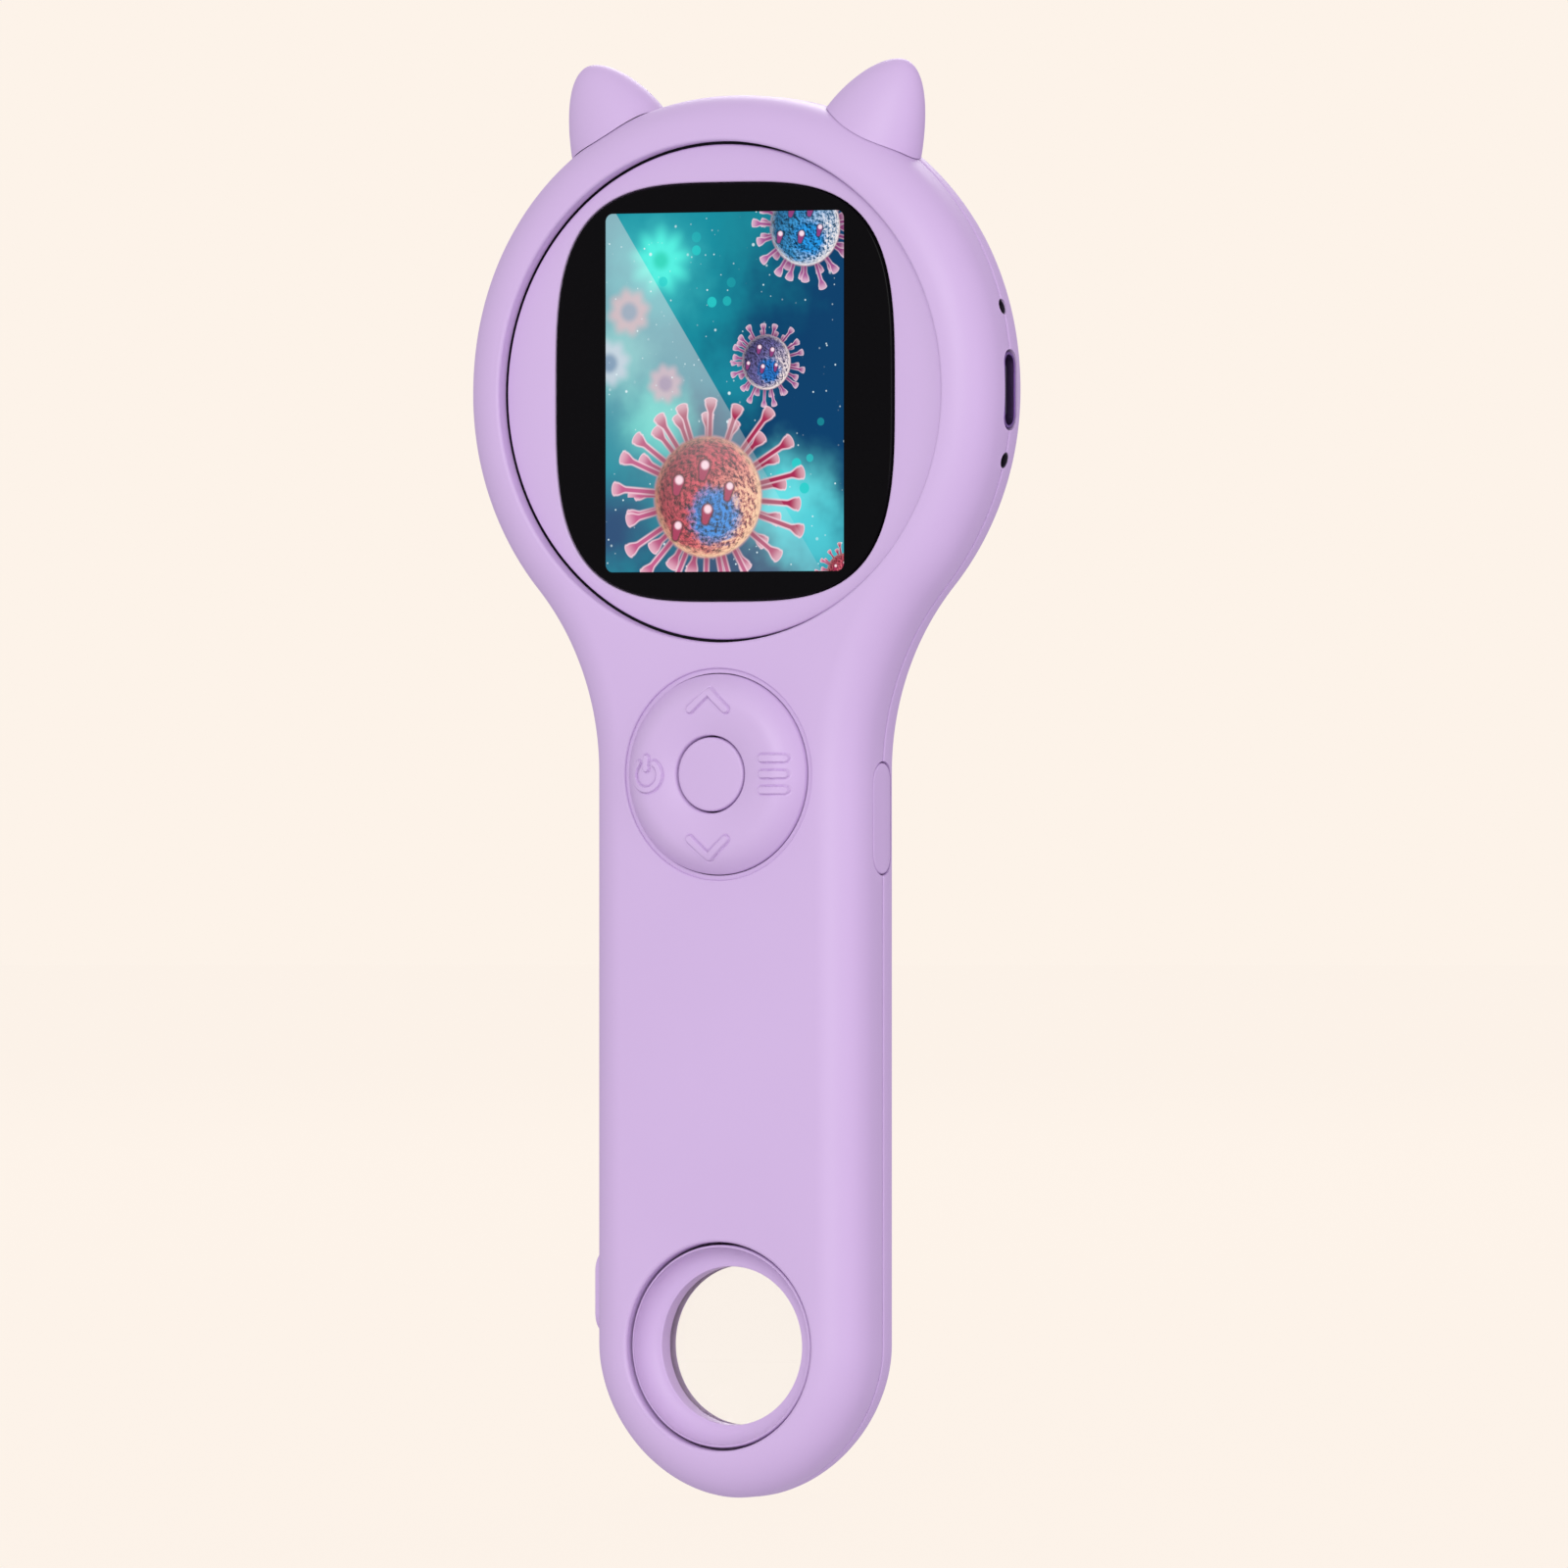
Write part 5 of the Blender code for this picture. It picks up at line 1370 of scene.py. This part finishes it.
def round_array(name):
    """A node tree that sets its own mesh out in a circle about the Y axis."""
    tree = Tree(name, Count="Int", Radius="Float", Turn="Float", Centre="Vector")
    inputs = tree.inputs
    ring = {"Vertices": inputs["Count"], "Radius": inputs["Radius"]}
    index = tree.add("GeometryNodeInputIndex", {})
    share = tree.add("ShaderNodeMath", {0: index, 1: inputs["Count"]}, operation="DIVIDE")
    angle = tree.add("ShaderNodeMath", {0: share, 1: math.tau}, operation="MULTIPLY")
    spin = tree.add("ShaderNodeCombineXYZ", {"Z": angle})
    copies = tree.instances(tree.add("GeometryNodeMeshCircle", ring), Rotation=spin)
    upright = tree.add("ShaderNodeCombineXYZ", {"X": 0.5 * math.pi, "Y": inputs["Turn"]})
    settings = {"Geometry": copies, "Rotation": upright, "Translation": inputs["Centre"]}
    return tree.finished(tree.add("GeometryNodeTransform", settings))


def row_array(name):
    """A node tree that repeats its own mesh along a line."""
    tree = Tree(name, Count="Int", Start="Vector", Step="Vector")
    inputs = tree.inputs
    line = {"Count": inputs["Count"], "Start Location": inputs["Start"], "Offset": inputs["Step"]}
    return tree.finished(tree.instances(tree.add("GeometryNodeMeshLine", line)))


def arrayed(obj, tree, look, **values):
    """Repeats an object's mesh by a node tree and keeps the result as its plain mesh."""
    modifier = obj.modifiers.new("repeat", "NODES")
    modifier.node_group = tree
    settings = {**values, "Material": look}
    for item in tree.interface.items_tree:
        if item.in_out == "INPUT" and item.name in settings:
            modifier[item.identifier] = settings[item.name]
    return baked(obj)


def rib_mesh(radius, length):
    """One grip rib: a half-round bar with soft ends, lying along Z."""
    ends = ((-0.5, 0.35), (-0.46, 0.8), (-0.4, 1.0), (0.4, 1.0), (0.46, 0.8), (0.5, 0.35))
    return capped([
        [(x, y, length * share) for x, y in circle(radius * size, (0.0, 0.0), 10)]
        for share, size in ends
    ])


class MICROSCOPE_OT_focus_ring(bpy.types.Operator):
    """Make the ribbed focus ring on the back"""

    bl_idname = "microscope.make_focus_ring"
    bl_label = "Make focus ring"

    def execute(self, context):
        settings = context.scene.microscope_camera
        low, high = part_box("focus_ring")
        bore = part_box("camera_tube")[1].x - NECK_INSET
        outer = high.x - 0.45 * MM
        soft = 0.5 * MM
        profile = [(bore, low.y)]
        profile += [(outer - soft * s, low.y + soft * c) for s, c in quarter(6)]
        profile += [(outer - soft * c, high.y - soft * s) for s, c in quarter(6)]
        profile.append((bore, high.y))
        finish_lilac(turned("fine_focus_ring", profile, HEAD), "focus_ring", "focus_ring")

        rib_length = high.y - low.y - 1.2 * MM
        ribs = plain_object("focus_ring_ribs", rib_mesh(settings.rib_radius, rib_length))
        arrayed(
            ribs, round_array("ring_of_ribs"), lilac_plastic(), Count=settings.ribs,
            Radius=outer, Turn=0.0, Centre=(0.0, 0.5 * (low.y + high.y), HEAD_HEIGHT),
        )
        finish_lilac(ribs, "focus_ring")
        return {"FINISHED"}


def lamp_resin():
    """Cloudy yellow resin over a lamp's chip."""
    p = Pattern("lamp_resin", Transmission_Weight=0.25)
    dust = p.noise(p.place, 3200.0, 3.0)
    p.colour(p.mix(dust, (0.9, 0.78, 0.36), (0.96, 0.9, 0.62)))
    p.roughness(dust * 0.15 + 0.25)
    return p.material


class MICROSCOPE_OT_nozzle(bpy.types.Operator):
    """Make the clear hood and the six lamps"""

    bl_idname = "microscope.make_nozzle"
    bl_label = "Make nozzle"

    def execute(self, context):
        low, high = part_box("clear_hood")
        base = low.y
        outer = high.x
        rim = outer - 1.0 * MM
        half_wall = 0.65 * MM
        lip = 0.4 * MM
        chamfer = 0.3 * MM
        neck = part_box("camera_tube")[1].x - NECK_INSET
        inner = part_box("lamp_board")[1].x + 0.3 * MM
        step_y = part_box("camera_tube")[1].y - 0.3 * MM
        profile = [(neck, base), (outer - chamfer, base), (outer, base + chamfer)]
        profile += [(outer, 0.5 * (base + high.y)), (rim + 0.12 * MM, high.y - 0.45 * MM)]
        for x, y in circle(1.0, (0.0, 0.0), 16)[:9]:
            profile.append((rim - half_wall + half_wall * x, high.y - lip + lip * y))
        profile += [(inner, high.y - half_wall - 0.3 * MM), (inner, step_y), (neck, step_y)]
        hood = turned("fine_clear_hood", profile, HEAD)
        acrylic = clear_plastic("hood_acrylic", (0.97, 0.985, 0.985), 0.04)
        finish_piece(hood, acrylic, "case", "clear_hood", slot="clear_plastic")

        lamp_low, lamp_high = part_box("lamp_1")
        lamp = middle_of("lamp_1")
        height = lamp_high.y - lamp_low.y
        rings = []
        for share, grow in ((-0.5, 0.94), (-0.44, 1.0), (0.34, 1.0), (0.44, 0.9), (0.5, 0.6)):
            outline = circle(1.15 * MM * grow, (0.0, 0.0), 24)
            rings.append([(x, z, -height * share) for x, z in outline])
        lamps = plain_object("lamps", capped(rings))
        resin = lamp_resin()
        arrayed(
            lamps, round_array("ring_of_lamps"), resin, Count=6,
            Radius=math.hypot(lamp.x, lamp.z - HEAD_HEIGHT), Turn=math.radians(30.0),
            Centre=(0.0, lamp.y, HEAD_HEIGHT),
        )
        nodes = [f"lamp_{number}" for number in range(1, 7)]
        finish_piece(lamps, resin, "case", *nodes, slot="lamp")
        return {"FINISHED"}


def screw_line(low_y, high_y):
    """The (radius, y) line of a fine-threaded screw with a flat, soft-edged head."""
    radius = 1.5 * MM
    shank = 0.62 * MM
    soft = 0.32 * MM
    turns = 22
    under = high_y - 1.0 * MM
    line = [(0.0, low_y), (shank * 0.6, low_y + 0.5 * MM)]
    for turn in range(turns + 1):
        y = low_y + 0.6 * MM + (under - low_y - 0.9 * MM) * turn / turns
        line.append((shank + (0.1 * MM if turn % 2 else 0.0), y))
    line += [(shank, under), (radius, under)]
    line += [(radius - soft * c, high_y - soft * s) for s, c in quarter(5)]
    return line + [(0.0, high_y)]


def cross_cutters(centre, high_y):
    """The two tapered bars of a cross recess."""
    bars = []
    for width, height in ((1.7, 0.42), (0.42, 1.7)):
        rings = []
        for y, grow in ((high_y - 0.6 * MM, 0.7), (high_y + 0.5 * MM, 1.05)):
            x = 0.5 * width * grow * MM
            z = 0.5 * height * grow * MM
            corners = ((-x, -z), (x, -z), (x, z), (-x, z))
            rings.append([(centre[0] + dx, y, centre[1] + dz) for dx, dz in corners])
        bars.append(capped(rings))
    return bars


class MICROSCOPE_OT_screws(bpy.types.Operator):
    """Make the four cross-head case screws"""

    bl_idname = "microscope.make_screws"
    bl_label = "Make screws"

    def execute(self, context):
        low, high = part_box("case_screw_1")
        look = metal("screw_steel", (0.62, 0.62, 0.64), 0.3, brushed=False)
        for number, place in enumerate(screw_places(), start=1):
            node = f"case_screw_{number}"
            screw = turned(f"fine_{node}", screw_line(low.y, high.y), place, 40)
            carved(screw, *cross_cutters(place, high.y))
            finish_piece(screw, look, "case", node, slot="steel")
        return {"FINISHED"}


# ---------------------------------------------------------------- port and small holes


def side_liner(outline_of, wall, sunk, low_x, floor):
    """A tube, or a cup with a floor, that lines a hole in the right side and follows its surface.

    outline_of gives the (y, z) outline for an inset.
    """
    soft = 0.06 * MM
    rings = [[(low_x, y, z) for y, z in outline_of(0.0)]]
    for inset, drop in ((0.0, soft), (soft, 0.0), (wall - soft, 0.0), (wall, soft)):
        rings.append([(side_surface(y, z) - sunk - drop, y, z) for y, z in outline_of(inset)])
    rings.append([(low_x + floor, y, z) for y, z in outline_of(wall)])
    return joined(capped(rings) if floor else skin(rings, loop=True))


def pin_mesh(low_x, tip, z, collar):
    """A round pin along X, with soft ends and perhaps a collar near its inner end."""
    radius = 0.6 * MM
    line = [(low_x, 0.9), (low_x + 0.1 * MM, 1.0)]
    if collar:
        start, end = low_x + 0.5 * MM, low_x + 1.0 * MM
        line += [(start, 1.0), (start, 1.8), (end, 1.8), (end, 1.0)]
    line += [(tip - 0.25 * MM, 1.0), (tip - 0.1 * MM, 0.9), (tip, 0.6)]
    rings = [[(x, y, v) for y, v in circle(radius * grow, (0.0, z), 32)] for x, grow in line]
    return joined(capped(rings))


class MICROSCOPE_OT_port(bpy.types.Operator):
    """Make the port's metal shell, its tongue and contacts, the light pipe and the plunger"""

    bl_idname = "microscope.make_port"
    bl_label = "Make port"

    def execute(self, context):
        count = context.scene.microscope_camera.contacts
        low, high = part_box("usb_socket")
        width = high.y - low.y
        height = high.z - low.z

        def port_outline(inset):
            return capsule(width - 2.0 * inset, height - 2.0 * inset, HEAD, 24)

        liner = side_liner(port_outline, 0.3 * MM, 0.12 * MM, low.x, 0.4 * MM)
        shell = plain_object("port_shell", liner)
        # The port's steel is coloured dark purple as painted shade and painted lilac bounce light
        # inside the port's mouth, not as the metal's own colour
        painted_shade_steel = metal("port_steel_painted_shade", (0.24, 0.14, 0.38), 0.42)
        finish_piece(shell, painted_shade_steel, "case", "usb_socket", slot="steel")

        face = HEAD_RADIUS - 0.75 * MM
        tongue_y = -0.2 * MM
        rings = []
        for x, grow in ((low.x + 0.6 * MM, 1.0), (face - 0.2 * MM, 1.0), (face, 0.8)):
            size = (0.7 * MM * grow, 6.2 * MM * (0.4 + 0.6 * grow))
            outline = capsule(*size, (tongue_y, HEAD_HEIGHT), 10)
            rings.append([(x, y, z) for y, z in outline])
        tongue = plain_object("port_tongue", joined(capped(rings)))
        dark = moulded("black_moulding", (0.02, 0.016, 0.026), 0.5, 0.12)
        finish_piece(tongue, dark, "case", slot="black_plastic")

        gold = metal("contact_gold", (0.9, 0.66, 0.28), 0.28)
        strip = bmesh.new()
        bmesh.ops.create_cube(strip, size=1.0)
        bmesh.ops.scale(strip, verts=strip.verts, vec=(3.2 * MM, 0.8 * MM, 0.32 * MM))
        bmesh.ops.bevel(strip, geom=strip.edges[:], offset=0.05 * MM, segments=2, affect="EDGES")
        contacts = plain_object("port_contacts", strip)
        arrayed(
            contacts, row_array("row_of_contacts"), gold, Count=count,
            Start=(face - 2.2 * MM, tongue_y, HEAD_HEIGHT - 2.3 * MM),
            Step=(0.0, 0.0, 4.6 * MM / max(count - 1, 1)),
        )
        finish_piece(contacts, gold, "case", slot="steel")

        pipe = clear_plastic("light_pipe_acrylic", (0.5, 0.46, 0.6), 0.2)
        for node, body, look, slot, bezel_name, sunk in (
            ("light_pipe", "case", pipe, "clear_plastic", "light_pipe_bezel", 0.5 * MM),
            ("reset_plunger", "reset_plunger", dark, "black_plastic", "reset_bezel", 0.0),
        ):
            low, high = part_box(node)
            z = middle_of(node).z
            moves = body != "case"
            pin = plain_object(f"fine_{node}", pin_mesh(low.x, high.x - sunk, z, moves))
            finish_piece(pin, look, body, node, slot=slot)

            def round_outline(inset, centre=(0.0, z)):
                return circle(SMALL_HOLE_RADIUS - 0.02 * MM - inset, centre, 32)

            liner = side_liner(round_outline, 0.16 * MM, 0.05 * MM, high.x - 0.8 * MM, 0.0)
            bezel = plain_object(bezel_name, liner)
            finish_piece(bezel, dark, "case", slot="black_plastic")
        return {"FINISHED"}


# ---------------------------------------------------------------- inner pieces


def circuit_board(name, colour):
    """Solder mask with fine tracks under it."""
    p = Pattern(name, Specular_IOR_Level=0.5)
    x, y, z = p.separate(p.scaled(p.place, 1.0 / MM))
    tracks = p.math("PINGPONG", z + (x * 0.2).rounded() * 0.31, 0.4)
    lit = tracks.smooth(0.1, 0.14)
    p.colour(p.mix(lit, shade(colour, 1.8), colour))
    p.roughness(lit * 0.1 + 0.34)
    p.bump(lit, 0.2, 0.02 * MM)
    return p.material


class MICROSCOPE_OT_insides(bpy.types.Operator):
    """Give the pieces inside the case their finished materials"""

    bl_idname = "microscope.make_insides"
    bl_label = "Finish insides"

    def execute(self, context):
        black = bpy.data.materials["black_moulding"]
        repaint(black, "display_bracket", "camera_tube", "lens_barrel", "processor")
        spring_steel = metal("spring_steel", (0.6, 0.6, 0.62), 0.3)
        repaint(spring_steel, "display_shield", "right_key_switch", "left_key_switch")
        domes = [f"switch_{place}" for place in ("up", "down", "left", "right", "middle")]
        repaint(spring_steel, *domes)
        repaint(circuit_board("green_board", (0.02, 0.14, 0.06)), "main_board", "key_board")
        foil = metal("pouch_foil", (0.66, 0.67, 0.7), 0.34, brushed=False)
        repaint(foil, "battery")
        repaint(clear_plastic("objective_glass", (0.95, 0.97, 1.0), 0.01, 1.52), "objective_lens")
        repaint(clear_plastic("frosted_acrylic", (0.94, 0.94, 0.95), 0.45), "lamp_diffuser")
        for name, colour, roughness, grain, node in (
            ("white_board", (0.72, 0.73, 0.71), 0.4, 0.04, "lamp_board"),
            ("amber_film", (0.45, 0.2, 0.04), 0.35, 0.04, "board_ribbon"),
            ("white_nylon", (0.78, 0.77, 0.73), 0.5, 0.08, "battery_connector"),
            ("sensor_cover", (0.02, 0.02, 0.05), 0.12, 0.01, "image_sensor"),
            ("panel_back", (0.01, 0.012, 0.015), 0.25, 0.02, "display_panel"),
        ):
            repaint(moulded(name, colour, roughness, grain), node)
        return {"FINISHED"}


# ---------------------------------------------------------------- stage


def even_ground(name, colour, share):
    """A pale ground that is mostly its own even light, with a share that takes soft shadow."""
    made = bpy.data.materials.new(name)
    made.use_nodes = True
    tree = made.node_tree
    tree.nodes.clear()
    blend = tree.nodes.new("ShaderNodeMixShader")
    blend.inputs[0].default_value = share
    for place, kind in ((1, "ShaderNodeEmission"), (2, "ShaderNodeBsdfDiffuse")):
        shader = tree.nodes.new(kind)
        shader.inputs["Color"].default_value = (*colour, 1.0)
        tree.links.new(shader.outputs[0], blend.inputs[place])
    out = tree.nodes.new("ShaderNodeOutputMaterial")
    tree.links.new(blend.outputs[0], out.inputs["Surface"])
    return made


def stage_piece(name, mesh, look, shadow=True):
    """A floor or a backdrop that the camera sees and the object's light doesn't."""
    obj = plain_object(name, mesh)
    obj.data.materials.append(look)
    obj.visible_diffuse = False
    obj.visible_glossy = False
    obj.visible_shadow = shadow
    return obj


def direction(azimuth, elevation=0.0):
    """The way from the object to a light or the camera."""
    across = math.cos(elevation)
    return Vector((
        math.sin(azimuth) * across, -math.cos(azimuth) * across, math.sin(elevation),
    ))


def aimed(obj, back, target, distance):
    """Stands an object back from a target and turns it to face the target."""
    obj.location = target + back * distance
    obj.rotation_euler = back.to_track_quat("Z", "Y").to_euler()
    bpy.context.scene.collection.objects.link(obj)


class MICROSCOPE_OT_stage(bpy.types.Operator):
    """Make the pale ground, the soft lights and the camera"""

    bl_idname = "microscope.make_stage"
    bl_label = "Make stage"

    def execute(self, context):
        scene = context.scene
        stage = scene.microscope_stage
        floor = bmesh.new()
        bmesh.ops.create_circle(floor, cap_ends=True, segments=96, radius=6.0)
        floor_z = CAD_CORNERS[0].z - 0.05 * MM
        bmesh.ops.translate(floor, verts=floor.verts, vec=(0.0, 0.0, floor_z))
        stage_piece("pale_floor", floor, even_ground("pale_ground", stage.ground, 0.02))
        dome = bmesh.new()
        bmesh.ops.create_uvsphere(dome, u_segments=48, v_segments=24, radius=5.9)
        look = even_ground("pale_surround", stage.ground, 0.0)
        stage_piece("pale_backdrop", dome, look, shadow=False).data.shade_smooth()

        world = bpy.data.worlds.new("soft_room")
        world.use_nodes = True
        room = world.node_tree.nodes["Background"]
        room.inputs["Color"].default_value = (1.0, 0.9, 1.075, 1.0)
        room.inputs["Strength"].default_value = stage.room
        scene.world = world

        middle = 0.5 * (CAD_CORNERS[0] + CAD_CORNERS[1])
        aim = Vector((0.0, 0.0, middle.z))
        white = (0.975, 1.0, 0.945)
        lilac = (0.85, 0.6, 1.0)
        for name, azimuth, elevation, distance, size, power, colour in (
            ("key_light", 18.0, 14.0, 2.3, 1.4, stage.key_power, white),
            ("side_light", 66.0, 0.0, 2.2, 0.9, stage.side_power, lilac),
            ("back_light", 200.0, 35.0, 2.4, 1.4, stage.back_power, white),
        ):
            light = bpy.data.lights.new(name, "AREA")
            light.shape = "DISK"
            light.size = size
            light.energy = power
            light.color = colour
            lamp = bpy.data.objects.new(name, light)
            lamp.visible_camera = False
            aimed(lamp, direction(math.radians(azimuth), math.radians(elevation)), aim, distance)

        camera_data = bpy.data.cameras.new("camera")
        camera_data.sensor_width = 36.0
        camera_data.lens = camera_data.sensor_width * stage.distance / stage.view_width
        camera_data.clip_start = 0.01
        camera_data.clip_end = 20.0
        camera = bpy.data.objects.new("camera", camera_data)
        right = Vector((math.cos(stage.azimuth), math.sin(stage.azimuth), 0.0))
        target = Vector((0.0, 0.0, 31.5 * MM)) + right * 4.0 * MM
        aimed(camera, direction(stage.azimuth), target, stage.distance)
        scene.camera = camera
        scene.view_settings.view_transform = "Standard"
        scene.view_settings.look = "None"
        return {"FINISHED"}


# ---------------------------------------------------------------- add-on


MAKERS = (
    MICROSCOPE_OT_stage,
    MICROSCOPE_OT_case,
    MICROSCOPE_OT_ears,
    MICROSCOPE_OT_display,
    MICROSCOPE_OT_front_keys,
    MICROSCOPE_OT_side_keys,
    MICROSCOPE_OT_port,
    MICROSCOPE_OT_magnifier,
    MICROSCOPE_OT_focus_ring,
    MICROSCOPE_OT_nozzle,
    MICROSCOPE_OT_screws,
    MICROSCOPE_OT_insides,
)

SETTINGS = {
    "microscope_case": CaseSettings,
    "microscope_display": DisplaySettings,
    "microscope_keys": KeySettings,
    "microscope_camera": CameraSettings,
    "microscope_stage": StageSettings,
}


class MICROSCOPE_PT_panel(bpy.types.Panel):
    """Lists the makers and their settings"""

    bl_idname = "MICROSCOPE_PT_panel"
    bl_label = "Handheld microscope"
    bl_space_type = "VIEW_3D"
    bl_region_type = "UI"
    bl_category = "Microscope"

    def draw(self, context):
        for maker in MAKERS:
            self.layout.operator(maker.bl_idname)
        for name, group in SETTINGS.items():
            box = self.layout.box()
            box.label(text=group.__doc__)
            for setting in group.__annotations__:
                box.prop(getattr(context.scene, name), setting)


def register():
    for group in SETTINGS.values():
        bpy.utils.register_class(group)
    for name, group in SETTINGS.items():
        setattr(bpy.types.Scene, name, PointerProperty(type=group))
    for maker in MAKERS:
        bpy.utils.register_class(maker)
    bpy.utils.register_class(MICROSCOPE_PT_panel)


def unregister():
    bpy.utils.unregister_class(MICROSCOPE_PT_panel)
    for maker in reversed(MAKERS):
        bpy.utils.unregister_class(maker)
    for name in SETTINGS:
        delattr(bpy.types.Scene, name)
    for group in SETTINGS.values():
        bpy.utils.unregister_class(group)


def main():
    register()
    for maker in MAKERS:
        area, name = maker.bl_idname.split(".")
        if getattr(getattr(bpy.ops, area), name)() != {"FINISHED"}:
            raise RuntimeError(f"{maker.bl_idname} did not finish")


if __name__ == "__main__":
    main()
